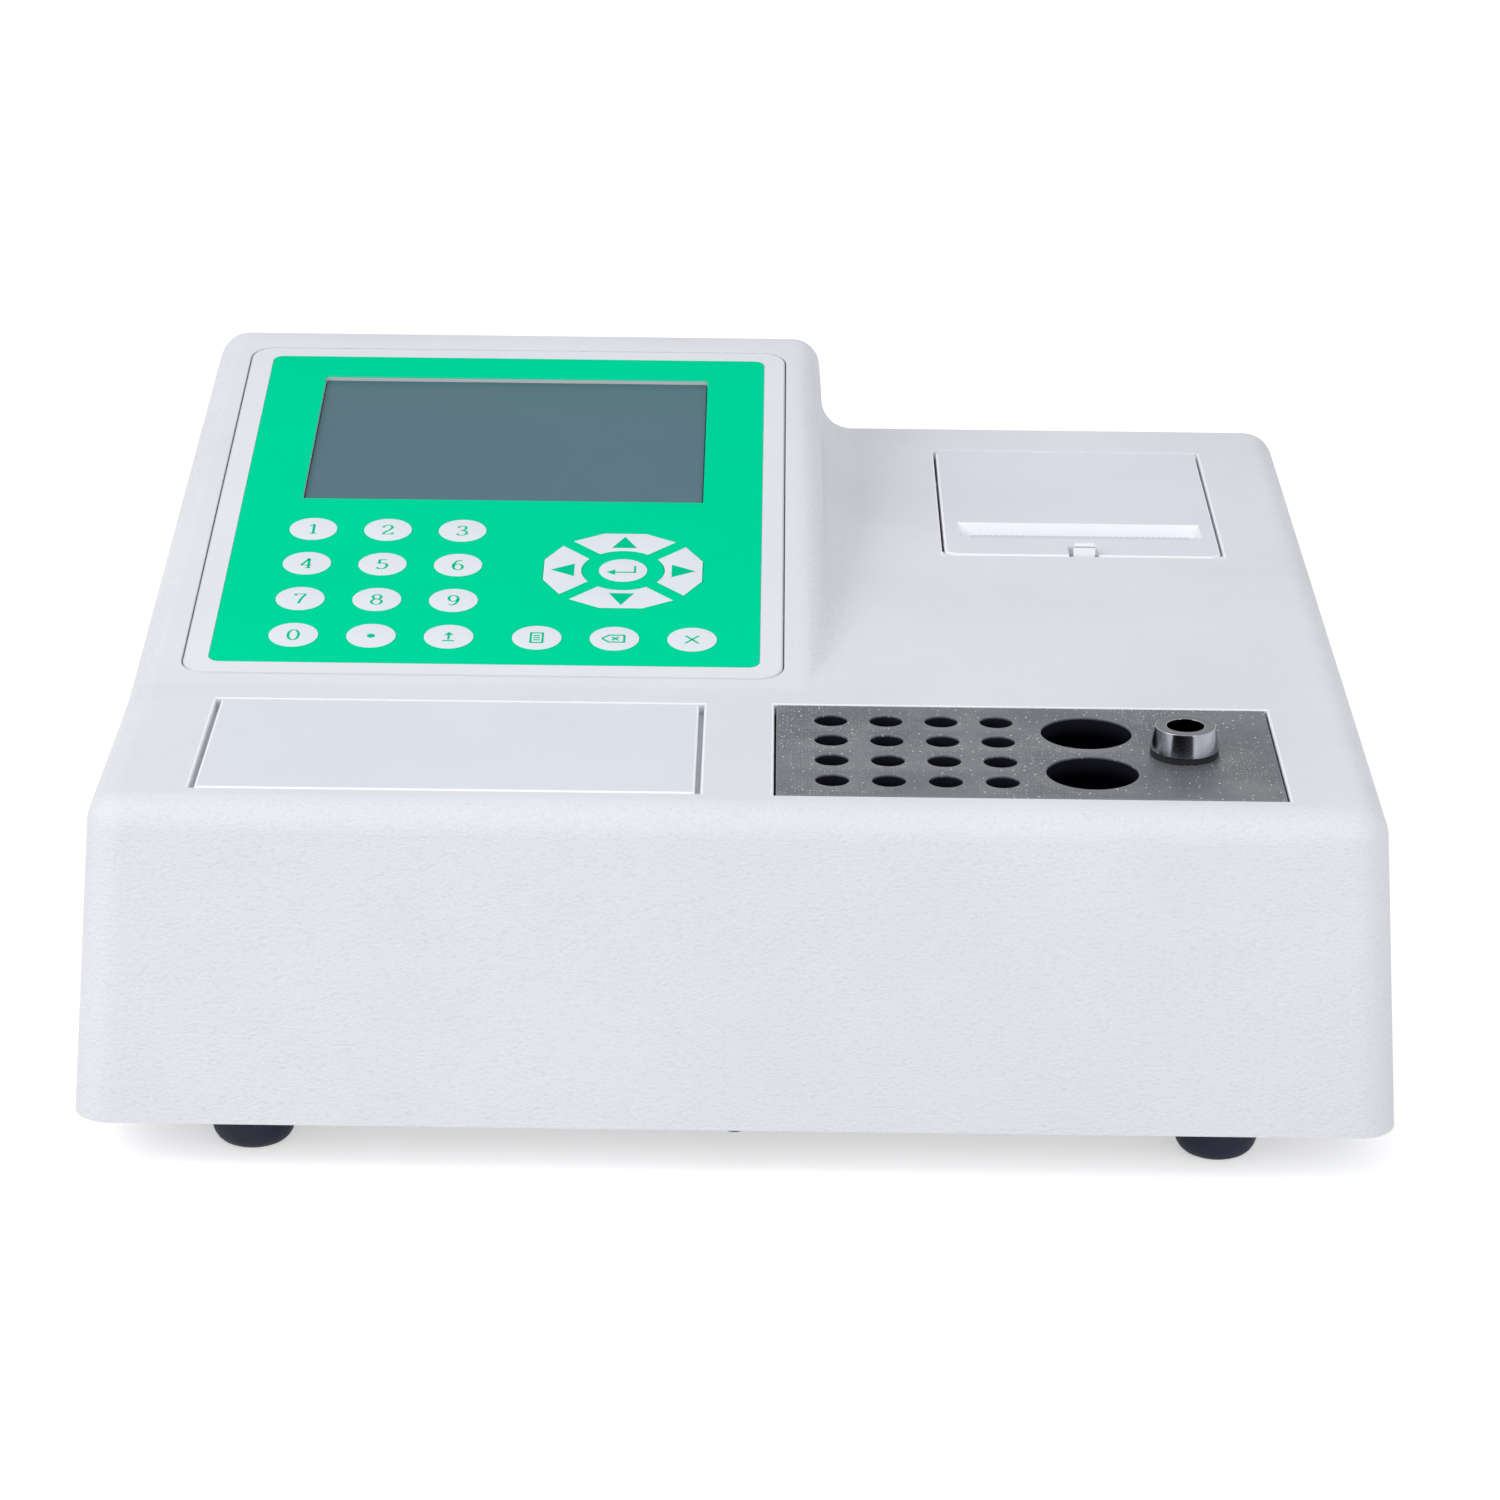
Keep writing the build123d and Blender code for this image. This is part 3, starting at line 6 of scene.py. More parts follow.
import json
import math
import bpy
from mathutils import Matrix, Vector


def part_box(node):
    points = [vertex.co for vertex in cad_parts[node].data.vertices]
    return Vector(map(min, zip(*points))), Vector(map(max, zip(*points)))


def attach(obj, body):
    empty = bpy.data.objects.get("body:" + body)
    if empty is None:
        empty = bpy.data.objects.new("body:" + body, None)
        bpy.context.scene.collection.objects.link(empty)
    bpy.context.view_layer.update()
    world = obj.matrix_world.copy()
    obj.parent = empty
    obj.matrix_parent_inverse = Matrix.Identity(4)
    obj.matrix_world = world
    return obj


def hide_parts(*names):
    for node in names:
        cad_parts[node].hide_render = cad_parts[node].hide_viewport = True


bl_info = {
    "name": "Coagulation Analyzer Looks",
    "version": (1, 0, 0),
    "blender": (4, 5, 0),
    "location": "View3D > Sidebar > Analyzer",
    "description": "Dresses the analyzer's casing, console, heated block, printer and fittings",
    "category": "Object",
}

import bmesh
import bpy
import numpy as np
from mathutils import Matrix, Vector

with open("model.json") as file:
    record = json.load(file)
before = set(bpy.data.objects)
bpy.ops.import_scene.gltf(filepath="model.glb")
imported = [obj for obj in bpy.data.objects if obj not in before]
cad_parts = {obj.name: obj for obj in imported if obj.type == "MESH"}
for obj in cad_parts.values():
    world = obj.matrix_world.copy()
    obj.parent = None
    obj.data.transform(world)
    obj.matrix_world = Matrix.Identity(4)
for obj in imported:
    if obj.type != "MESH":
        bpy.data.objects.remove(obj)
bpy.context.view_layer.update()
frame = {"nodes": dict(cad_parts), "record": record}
MM = 0.001
SLOTS = {s["node"]: s["material_slot"] for s in frame["record"]["subparts"]}


def tone(red, green, blue):
    """A colour as seen on a screen (0 to 255) turned into scene-linear values."""
    c = np.array([red, green, blue], float) / 255
    low = c / 12.92
    high = ((c + 0.055) / 1.055) ** 2.4
    return tuple(float(v) for v in np.where(c <= 0.04045, low, high))


def node_points(name):
    """All vertices of a CAD node as an array."""
    mesh = frame["nodes"][name].data
    co = np.empty(len(mesh.vertices) * 3, np.float32)
    mesh.vertices.foreach_get("co", co)
    return co.reshape(-1, 3).astype(float)


# Two planes of the casing: a point in them, and the unit steps across, up and out
SLOPE = math.radians(9.26)
DRAFT = math.radians(3.85)
DECK_Z = 0.096
FACE = np.array([
    (0.0, -0.0765, DECK_Z), (1.0, 0.0, 0.0),
    (0.0, math.cos(SLOPE), math.sin(SLOPE)), (0.0, -math.sin(SLOPE), math.cos(SLOPE)),
])
REAR_WALL = np.array([
    (0.0, 0.16725, 0.013), (-1.0, 0.0, 0.0),
    (0.0, -math.sin(DRAFT), math.cos(DRAFT)), (0.0, math.cos(DRAFT), math.sin(DRAFT)),
])


def to_plane(points, plane=FACE):
    """World points in a plane's own terms: across, up and out of it."""
    return (np.asarray(points, float) - plane[0]) @ plane[1:].T


def from_plane(points, plane=FACE):
    """Points given across, up and out of a plane, placed in the world."""
    return plane[0] + np.asarray(points, float) @ plane[1:]


# ---------------------------------------------------------------- sizes and colours


def length_property(name, default, description):
    """A length among the sizes of the details."""
    return bpy.props.FloatProperty(name=name, description=description, default=default, unit="LENGTH")


def colour_property(name, default, description):
    """A colour among the main finishes."""
    return bpy.props.FloatVectorProperty(
        name=name, description=description, subtype="COLOR", size=3, min=0, max=1, default=default
    )


class AnalyzerSizes(bpy.types.PropertyGroup):
    """Sizes of the details that the looks add."""

    key_edge: length_property("Key edge", 0.14 * MM, "Radius of the rounded edge of every key")
    digit_height: length_property("Digit height", 5.5 * MM, "Height of a digit up the slope")
    ink_height: length_property("Ink height", 0.02 * MM, "How far printed signs stand above a key")
    well_rim: length_property("Well rim", 0.3 * MM, "Width of the turned edge round each well")
    block_edge: length_property("Block edge", 0.35 * MM, "Width of the broken edge round the block's top")
    grain_size: length_property("Grain size", 0.7 * MM, "Width of one bump of the casing's moulded grain")
    round_steps: bpy.props.IntProperty(
        name="Round steps", description="Points round a turned piece", default=64, min=16, max=128
    )


class AnalyzerColours(bpy.types.PropertyGroup):
    """Colours of the main finishes."""

    casing: colour_property("Casing", tone(225, 226, 231), "Moulded shell")
    cover: colour_property("Covers", tone(222, 225, 232), "Blank cover and printer door")
    sheet: colour_property("Console sheet", tone(226, 228, 233), "White console plate")
    overlay: colour_property("Overlay", tone(0, 214, 155), "Green keypad overlay")
    key: colour_property("Keys", tone(227, 231, 238), "Key caps")
    display: colour_property("Display", tone(81, 113, 125), "Display glass when off")
    block: colour_property("Block", tone(108, 111, 116), "Anodised block")
    rubber: colour_property("Feet", tone(24, 30, 50), "Rubber feet")


# ---------------------------------------------------------------- surfaces


def make_piece(name, points, faces, sharp=30.0):
    """A mesh piece from an array of points and a list of faces, smooth but for edges over sharp degrees."""
    mesh = bpy.data.meshes.new(name)
    mesh.from_pydata(np.asarray(points, float).reshape(-1, 3).tolist(), [], [list(map(int, f)) for f in faces])
    bm = bmesh.new()
    bm.from_mesh(mesh)
    bmesh.ops.remove_doubles(bm, verts=bm.verts, dist=1e-7)
    bm.to_mesh(mesh)
    bm.free()
    mesh.shade_smooth()
    mesh.set_sharp_from_angle(angle=math.radians(sharp))
    mesh.validate()
    piece = bpy.data.objects.new(name, mesh)
    bpy.context.scene.collection.objects.link(piece)
    return piece


def ring_faces(rows, count, first=0, start_cap=True, end_cap=True):
    """Faces of a tube of rows rings with count points each: four corners between neighbours, caps at the ends."""
    r = np.arange(rows - 1)[:, None] * count + first
    i = np.arange(count)[None, :]
    j = (i + 1) % count
    quads = np.stack([r + i, r + j, r + count + j, r + count + i], axis=-1).reshape(-1, 4)
    faces = quads.tolist()
    if start_cap:
        faces.append((first + np.arange(count)[::-1]).tolist())
    if end_cap:
        faces.append((first + (rows - 1) * count + np.arange(count)).tolist())
    return faces


def stacked(tubes):
    """Several closed tubes in one mesh. Each is an array rings x points x 3; ring r, point i carries on to r + 1."""
    points, faces, first = [], [], 0
    for rings in tubes:
        rows, count = rings.shape[:2]
        faces += ring_faces(rows, count, first)
        points.append(rings.reshape(-1, 3))
        first += rows * count
    return np.concatenate(points), faces


def polar_stack(radii, heights, centre, axis=(0, 0, 1)):
    """Outlines in polar form stacked along an axis: ring k is radii[k](a) at heights[k]."""
    n = Vector(axis).normalized()
    u = n.orthogonal().normalized()
    v = n.cross(u)
    radii = np.asarray(radii, float)
    a = np.linspace(0, 2 * math.pi, radii.shape[1], endpoint=False)
    circle = np.cos(a)[:, None] * np.array(u) + np.sin(a)[:, None] * np.array(v)
    return np.array(centre) + radii[..., None] * circle + np.asarray(heights, float)[:, None, None] * np.array(n)


def turned(profile, centre, steps):
    """A turned piece: point = centre + along * up + radius * (cos a, sin a) in the plane across.

    profile is rows of (radius, along); the outline goes up the outside, so that faces point outwards.
    """
    p = np.asarray(profile, float)
    return polar_stack(np.repeat(p[:, :1], steps, axis=1), p[:, 1], centre)


def rounded_top(radius, steps=4):
    """(inset, drop) pairs of a quarter round: inset = r (1 - cos t), drop = r (1 - sin t), from the side upwards."""
    t = np.linspace(0, math.pi / 2, steps + 1)
    return np.stack([radius * (1 - np.cos(t)), radius * (1 - np.sin(t))], axis=-1)


def drawn_line(points, bend=True, samples=9):
    """Points along a stroke. With bend it is a Catmull-Rom curve: each span is a cubic through its two ends,
    whose slopes are half the step between the neighbours of each end. Without it, spans are straight."""
    p = np.asarray(points, float)
    t = np.linspace(0, 1, samples, endpoint=False)[None, :, None]
    a, b = p[:-1, None], p[1:, None]
    if bend:
        before = np.concatenate([2 * p[:1] - p[1:2], p[:-2]])[:, None]
        after = np.concatenate([p[2:], 2 * p[-1:] - p[-2:-1]])[:, None]
        curve = 0.5 * (
            2 * a
            + (b - before) * t
            + (2 * before - 5 * a + 4 * b - after) * t**2
            + (3 * a - before - 3 * b + after) * t**3
        )
    else:
        curve = a + (b - a) * t
    return np.concatenate([curve.reshape(-1, p.shape[1]), p[-1:]])


def run_of(path):
    """The way a path runs at each of its points, one long."""
    way = np.gradient(path, axis=0)
    return way / np.maximum(np.linalg.norm(way, axis=1, keepdims=True), 1e-12)


def at_height(outline, z):
    """Flat points (x, y) with a height added."""
    return np.concatenate([outline, np.full((len(outline), 1), z)], axis=1)


def ribbon(path, width, low, high):
    """A flat inked stroke: at each point of the path (x, y) the width is spread across the way it runs,
    from low to high in z. Four points a ring, closed at both ends."""
    way = run_of(path)
    side = np.stack([-way[:, 1], way[:, 0]], axis=-1) * (np.broadcast_to(width, len(path)) / 2)[:, None]
    left, right = path + side, path - side
    corners = ((left, low), (left, high), (right, high), (right, low))
    return np.stack([at_height(edge, z) for edge, z in corners], axis=1)


def pen_stroke(path, thick, thin, low, high):
    """A ribbon whose width follows a broad pen: thin where the stroke runs across, thick where it runs up."""
    return ribbon(path, thin + (thick - thin) * np.abs(run_of(path)[:, 1]) ** 1.6, low, high)


def oval(x, y, rx, ry):
    """Points round an oval, from its top and back to it."""
    a = 2 * math.pi * (np.linspace(0, 1, 17) + 0.25)
    return np.stack([x + rx * np.cos(a), y + ry * np.sin(a)], axis=-1).tolist()


# Strokes of the ten digits in a box one high; the flag says whether the line bends
SIX = [(0.5, 0.93), (0.34, 0.98), (0.16, 0.78), (0.07, 0.45), (0.12, 0.14), (0.3, 0.0), (0.48, 0.1), (0.53, 0.3),
       (0.46, 0.52), (0.3, 0.6), (0.14, 0.5), (0.07, 0.36)]
DIGITS = {
    "0": [(oval(0.3, 0.5, 0.25, 0.5), True)],
    "1": [([(0.32, 0), (0.32, 1)], False), ([(0.12, 0.84), (0.32, 0.98)], False),
          ([(0.14, 0.02), (0.5, 0.02)], False)],
    "2": [([(0.06, 0.74), (0.1, 0.9), (0.28, 1), (0.46, 0.92), (0.5, 0.74), (0.4, 0.52), (0.2, 0.28), (0.06, 0.05)],
           True), ([(0.05, 0.04), (0.54, 0.04)], False), ([(0.54, 0.03), (0.56, 0.2)], False)],
    "3": [([(0.08, 0.8), (0.14, 0.94), (0.3, 1), (0.45, 0.9), (0.46, 0.72), (0.36, 0.57), (0.22, 0.53)], True),
          ([(0.22, 0.53), (0.42, 0.48), (0.53, 0.28), (0.44, 0.07), (0.26, 0), (0.11, 0.05), (0.06, 0.18)], True)],
    "4": [([(0.4, 1), (0.03, 0.3)], False), ([(0.03, 0.3), (0.58, 0.3)], False), ([(0.4, 1), (0.4, 0)], False),
          ([(0.26, 0.02), (0.54, 0.02)], False)],
    "5": [([(0.5, 0.97), (0.14, 0.97)], False), ([(0.15, 0.97), (0.12, 0.56)], False),
          ([(0.12, 0.56), (0.28, 0.62), (0.47, 0.54), (0.53, 0.34), (0.44, 0.1), (0.26, 0), (0.1, 0.05),
            (0.06, 0.17)], True)],
    "6": [(SIX, True)],
    "7": [([(0.04, 0.8), (0.06, 0.97)], False), ([(0.05, 0.96), (0.55, 0.96)], False),
          ([(0.55, 0.96), (0.36, 0.5), (0.25, 0)], True)],
    "8": [(oval(0.3, 0.76, 0.2, 0.23), True), (oval(0.3, 0.27, 0.25, 0.27), True)],
    "9": [([(0.6 - x, 1 - y) for x, y in SIX], True)],
}


# ---------------------------------------------------------------- node groups


def put(tree, value, socket):
    """A value into a socket: a link where it comes from a node, else the number or triple itself."""
    if isinstance(value, bpy.types.NodeSocket):
        tree.links.new(value, socket)
    else:
        socket.default_value = value


def node_group(name, inputs, outputs):
    """An empty shader group: a vector and the named inputs in, numbers out. An input of None is a vector too.

    Gives back the tree, what it is given and where its results go.
    """
    group = bpy.data.node_groups.new(name, "ShaderNodeTree")
    for label, value in (("Vector", None), *inputs.items()):
        kind = "NodeSocketVector" if value is None else "NodeSocketFloat"
        socket = group.interface.new_socket(name=label, in_out="INPUT", socket_type=kind)
        if value is not None:
            socket.default_value = value
    for label in outputs:
        group.interface.new_socket(name=label, in_out="OUTPUT", socket_type="NodeSocketFloat")
    return group, group.nodes.new("NodeGroupInput").outputs, group.nodes.new("NodeGroupOutput").inputs


def math_node(tree, operation, *values):
    """One step of maths on sockets or numbers."""
    node = tree.nodes.new("ShaderNodeMath")
    node.operation = operation
    for socket, value in zip(node.inputs, values):
        put(tree, value, socket)
    return node.outputs[0]


def vector_node(tree, operation, *values):
    """One step of maths on vectors: sockets or triples."""
    node = tree.nodes.new("ShaderNodeVectorMath")
    node.operation = operation
    for socket, value in zip(node.inputs, values):
        put(tree, value, socket)
    return node.outputs["Value" if operation == "LENGTH" else "Vector"]


def scaled(tree, vector, factor):
    """A vector times a number or a triple."""
    if isinstance(factor, tuple):
        return vector_node(tree, "MULTIPLY", vector, factor)
    result = vector_node(tree, "SCALE", vector)
    put(tree, factor, result.node.inputs["Scale"])
    return result


def component(tree, vector, axis):
    """One coordinate of a vector."""
    split = tree.nodes.new("ShaderNodeSeparateXYZ")
    tree.links.new(vector, split.inputs[0])
    return split.outputs[axis]


def ramp(tree, value, low, high, out_low=0.0, out_high=1.0):
    """Value carried from low..high to out_low..out_high with soft ends."""
    node = tree.nodes.new("ShaderNodeMapRange")
    node.interpolation_type = "SMOOTHSTEP"
    labels = ("Value", "From Min", "From Max", "To Min", "To Max")
    for label, number in zip(labels, (value, low, high, out_low, out_high)):
        put(tree, number, node.inputs[label])
    return node.outputs["Result"]


def noise(tree, vector, scale, detail=2.0, roughness=0.5):
    """A noise texture's value."""
    node = tree.nodes.new("ShaderNodeTexNoise")
    for label, value in (("Vector", vector), ("Scale", scale), ("Detail", detail), ("Roughness", roughness)):
        put(tree, value, node.inputs[label])
    return node.outputs["Fac"]


def speck_group(name, reach):
    """Specks: one dot in some of the cells of a coarse net; reach is 3D, or 2D for dust lying on a top face."""
    g, given, out = node_group(name, {"Cells per metre": 150.0, "Size": 0.06, "Share": 0.2}, ["Mask"])
    dots = g.nodes.new("ShaderNodeTexVoronoi")
    dots.voronoi_dimensions = reach
    dots.inputs["Scale"].default_value = 1.0
    g.links.new(scaled(g, given["Vector"], given["Cells per metre"]), dots.inputs["Vector"])
    split = g.nodes.new("ShaderNodeSeparateColor")
    g.links.new(dots.outputs["Color"], split.inputs["Color"])
    chosen = math_node(g, "LESS_THAN", split.outputs["Red"], given["Share"])
    size = math_node(g, "MULTIPLY", given["Size"], ramp(g, split.outputs["Green"], 0.0, 1.0, 0.35, 1.0))
    inside = math_node(g, "LESS_THAN", dots.outputs["Distance"], size)
    g.links.new(math_node(g, "MULTIPLY", chosen, inside), out["Mask"])
    return g


def grain_group():
    """Moulded grain: soft cells about one bump wide, broken up by finer noise."""
    g, given, out = node_group("moulded_grain", {"Bumps per metre": 1000.0}, ["Height", "Pits"])
    v = scaled(g, given["Vector"], given["Bumps per metre"])
    cells = g.nodes.new("ShaderNodeTexVoronoi")
    cells.feature = "SMOOTH_F1"
    cells.inputs["Scale"].default_value = 1.0
    cells.inputs["Smoothness"].default_value = 0.45
    warp = g.nodes.new("ShaderNodeTexNoise")
    warp.inputs["Scale"].default_value = 0.8
    g.links.new(v, warp.inputs["Vector"])
    warped = vector_node(g, "MULTIPLY_ADD", warp.outputs["Color"], (0.7, 0.7, 0.7), v)
    g.links.new(warped, cells.inputs["Vector"])
    fine = math_node(g, "MULTIPLY", noise(g, v, 2.2), 0.55)
    bumps = math_node(g, "ADD", math_node(g, "MULTIPLY", cells.outputs["Distance"], -0.9), fine)
    g.links.new(math_node(g, "ADD", bumps, 0.6), out["Height"])
    g.links.new(ramp(g, bumps, -0.25, -0.45), out["Pits"])
    return g


def cloud_group():
    """Cloud: slow uneven tone, such as handling, wear or a smudge."""
    g, given, out = node_group("cloud", {"Clouds per metre": 20.0}, ["Value"])
    v = scaled(g, given["Vector"], given["Clouds per metre"])
    g.links.new(ramp(g, noise(g, v, 1.0, 4.0, 0.6), 0.3, 0.7), out["Value"])
    return g


def line_group():
    """Hair lines: long fine scratches along one axis of the coordinates."""
    g, given, out = node_group("hair_lines", {"Lines per metre": 3000.0}, ["Height", "Mask"])
    v = scaled(g, scaled(g, given["Vector"], (0.02, 1.0, 1.0)), given["Lines per metre"])
    lines = noise(g, v, 1.0, 3.0, 0.7)
    g.links.new(lines, out["Height"])
    g.links.new(ramp(g, lines, 0.62, 0.75), out["Mask"])
    return g


def edge_highlight_group():
    """Painted edge highlight: a narrow band on both sides of a rectangle's outline, seen from above."""
    g, given, out = node_group("painted_edge_highlight", {"Centre": None, "Half": None, "Reach": 0.0007}, ["Mask"])
    away = vector_node(g, "SUBTRACT", given["Vector"], given["Centre"])
    past = vector_node(g, "SUBTRACT", vector_node(g, "ABSOLUTE", away), given["Half"])
    off = math_node(g, "ABSOLUTE", math_node(g, "MAXIMUM", component(g, past, "X"), component(g, past, "Y")))
    g.links.new(ramp(g, math_node(g, "DIVIDE", off, given["Reach"]), 1.0, 0.6), out["Mask"])
    return g


def fibre_group():
    """Fibres: a felted surface for paper."""
    g, given, out = node_group("fibres", {"Fibres per metre": 2500.0}, ["Height"])
    v = scaled(g, given["Vector"], given["Fibres per metre"])
    one, two = (noise(g, scaled(g, v, stretch), 1.0, 3.0) for stretch in ((0.3, 1.0, 1.0), (1.0, 0.3, 1.0)))
    g.links.new(math_node(g, "MULTIPLY", math_node(g, "ADD", one, two), 0.5), out["Height"])
    return g


def build_groups():
    """The shared surface effects. Every group takes the piece's own coordinates and puts out values only."""
    return {
        "grain": grain_group(), "cloud": cloud_group(), "lines": line_group(), "paint_edge_highlight": edge_highlight_group(),
        "specks": speck_group("specks", "3D"), "settled_dust": speck_group("settled_dust", "2D"),
        "fibres": fibre_group(),
    }


GROUPS = {}


class Finish:
    """One material under way: its tree, its Principled shader, and short ways to add effects."""

    def __init__(self, name, colour, roughness, **values):
        self.material = bpy.data.materials.new(name)
        self.material.use_nodes = True
        self.tree = self.material.node_tree
        self.shader = self.tree.nodes["Principled BSDF"]
        self.shader.inputs["Roughness"].default_value = roughness
        for label, value in values.items():
            self.shader.inputs[label.replace("_", " ")].default_value = value
        self.colour = tuple(colour) + (1.0,)
        self.shader.inputs["Base Color"].default_value = self.colour
        self.paint = self.rough = self.normal = None
        self.place = self.tree.nodes.new("ShaderNodeTexCoord").outputs["Object"]

    def effect(self, group, vector=None, **values):
        """A shared group placed in this material with its own values."""
        node = self.tree.nodes.new("ShaderNodeGroup")
        node.node_tree = GROUPS[group]
        self.tree.links.new(vector or self.place, node.inputs["Vector"])
        for label, value in values.items():
            node.inputs[label.replace("_", " ")].default_value = value
        return node

    def clouds(self, per_metre):
        """The mask of a slow uneven tone."""
        return self.effect("cloud", Clouds_per_metre=per_metre).outputs["Value"]

    def dots(self, cells, size, share, group="specks"):
        """The mask of small specks: cells per metre, their size in a cell, and the share of cells with one."""
        return self.effect(group, Cells_per_metre=cells, Size=size, Share=share).outputs["Mask"]

    def bumps(self, per_metre):
        """The height of a moulded or blasted grain."""
        return self.effect("grain", Bumps_per_metre=per_metre).outputs["Height"]

    def along(self, axis):
        """How far a place lies along one of the piece's own axes."""
        return component(self.tree, self.place, axis)

    def tint(self, mask, colour, amount=1.0):
        """Paints colour over what is there where the mask is high."""
        mix = self.tree.nodes.new("ShaderNodeMix")
        mix.data_type = "RGBA"
        share = mask if amount == 1.0 else math_node(self.tree, "MULTIPLY", mask, amount)
        put(self.tree, share, mix.inputs["Factor"])
        put(self.tree, self.paint or self.colour, mix.inputs["A"])
        mix.inputs["B"].default_value = tuple(colour) + (1.0,)
        self.paint = mix.outputs["Result"]

    def gloss(self, mask, low, high):
        """Roughness from low to high as the mask rises."""
        self.rough = ramp(self.tree, mask, 0.0, 1.0, low, high)

    def paint_edge_highlight(self, low, high, colour):
        """A painted highlight, paler than the plastic, along a rectangle's outline between two corners, below the
        deck's level too.
        """
        centre = tuple((a + b) / 2 for a, b in zip(low, high))
        half = tuple((b - a) / 2 for a, b in zip(low, high))
        edge = self.effect("paint_edge_highlight", Centre=(*centre, 0.0), Half=(*half, 0.0), Reach=0.3 * MM)
        self.tint(edge.outputs["Mask"], colour, 0.8)

    def facing_up(self, low=0.9, high=0.98):
        """A mask of the faces that look straight up, from the surface's own normal."""
        normal = self.tree.nodes.new("ShaderNodeNewGeometry").outputs["Normal"]
        return ramp(self.tree, component(self.tree, normal, "Z"), low, high)

    def facing_aside(self, *limits):
        """A mask of all the other faces."""
        return math_node(self.tree, "SUBTRACT", 1.0, self.facing_up(*limits))

    def vary(self, label, mask, low, high):
        """A value of the shader that goes from low to high as the mask rises."""
        self.tree.links.new(ramp(self.tree, mask, 0.0, 1.0, low, high), self.shader.inputs[label])

    def relief(self, height, depth, share=1.0):
        """Bumps from a height; depth in metres; share is a mask that says where they are."""
        bump = self.tree.nodes.new("ShaderNodeBump")
        for label, value in (("Strength", share), ("Distance", depth), ("Height", height)):
            put(self.tree, value, bump.inputs[label])
        self.normal = bump.outputs["Normal"]

    def done(self):
        """Joins what was made to the shader."""
        for result, label in ((self.paint, "Base Color"), (self.rough, "Roughness"), (self.normal, "Normal")):
            if result is not None:
                self.tree.links.new(result, self.shader.inputs[label])
        return self.material


def shaded(colour, factor):
    """A colour made darker or lighter."""
    return tuple(min(1.0, c * factor) for c in colour)


def plastic(
    name, colour, roughness, bumps, depth, speck_share=0.06, cloud=0.035, gleam=0.3,
    highlight_outlines=(), painted_side_lighting=None, painted_pit_shade=0.55, top_grain_share=1.0, stretch=1.0,
):
    """Moulded plastic: grain with painted shade in its low parts, a slow unevenness, shine that varies, and a few
    dark specks.

    The outlines given get a painted highlight along their edge; a side colour is painted light and shade for
    the faces that don't look up; the pit share says how dark the painted shade in the grain's low parts is; the
    top share is how much of the grain's bumps and painted shade is kept on faces that look up;
    stretch under 1 draws the grain out from side to side.
    """
    f = Finish(name, colour, roughness, Specular_IOR_Level=gleam)
    grain = f.effect("grain", scaled(f.tree, f.place, (stretch, 1.0, 1.0)), Bumps_per_metre=bumps)
    clouds = f.clouds(14.0)
    f.tint(clouds, shaded(colour, 1 - cloud))
    # Painted shade in the grain's low parts; faces that look up keep only a share of it and of the bumps
    left = ramp(f.tree, f.facing_up(), 0.0, 1.0, 1.0, top_grain_share)
    f.tint(math_node(f.tree, "MULTIPLY", grain.outputs["Pits"], left), shaded(colour, 0.87), painted_pit_shade)
    f.tint(f.dots(160.0, 0.035, speck_share), shaded(colour, 0.45), 0.8)
    # Painted light and shade: a side colour on the faces that don't look up, standing in for how light falls on them
    if painted_side_lighting is not None:
        f.tint(f.facing_aside(), painted_side_lighting)
    # Painted highlight along each outline given, in a paler colour
    for low, high in highlight_outlines:
        f.paint_edge_highlight(low, high, tone(252, 252, 255))
    f.gloss(clouds, roughness - 0.04, roughness + 0.05)
    f.relief(grain.outputs["Height"], depth, left)
    return f.done()


def latch_plastic(name, colour):
    """White plastic like the printer's, with the thin shadow line of the hook just below its top edge."""
    f = Finish(name, colour, 0.45, Specular_IOR_Level=0.3)
    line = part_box("door_latch")[1].z - 0.75 * MM
    off_line = math_node(f.tree, "ABSOLUTE", math_node(f.tree, "SUBTRACT", f.along("Z"), line))
    f.tint(f.clouds(90.0), shaded(colour, 0.97))
    f.tint(ramp(f.tree, off_line, 0.24 * MM, 0.12 * MM), tone(170, 172, 180))
    f.relief(f.bumps(1600.0), 0.01 * MM)
    return f.done()


def printed_sheet(name, colour, roughness, gleam, haze=0.35, painted_side_lighting=None):
    """Printed polyester: nearly flat, with a very fine silk texture, a few dust specks, and painted light and shade
    on its side faces when a side colour is given.
    """
    f = Finish(name, colour, roughness, Specular_IOR_Level=gleam)
    clouds = f.clouds(9.0)
    f.tint(clouds, shaded(colour, 0.965))
    f.tint(f.dots(120.0, 0.03, 0.10), tone(200, 205, 205), haze)
    # Painted light and shade: a side colour on the faces that don't look up, standing in for how light falls on them
    if painted_side_lighting is not None:
        f.tint(f.facing_aside(0.88, 0.96), painted_side_lighting)
    f.gloss(clouds, roughness - 0.05, roughness + 0.05)
    f.relief(f.bumps(4200.0), 0.006 * MM)
    return f.done()


def display_glass(name, colour):
    """The switched off display under its window, with fine dust, and painted shade that makes it slightly greener and
    darker to the far edge and a little darker to the left.
    """
    f = Finish(name, colour, 0.32, Specular_IOR_Level=0.08)
    # Painted shade: greener and darker to the far edge, a little darker to the left
    f.tint(ramp(f.tree, f.along("Y"), 0.06, 0.104), tone(76, 112, 116), 0.8)
    f.tint(ramp(f.tree, f.along("X"), -0.03, -0.12), tone(74, 103, 115), 0.35)
    clouds = f.clouds(25.0)
    f.tint(clouds, shaded(colour, 0.94), 0.6)
    f.tint(f.dots(130.0, 0.04, 0.12), tone(190, 200, 205), 0.7)
    f.gloss(clouds, 0.28, 0.36)
    return f.done()


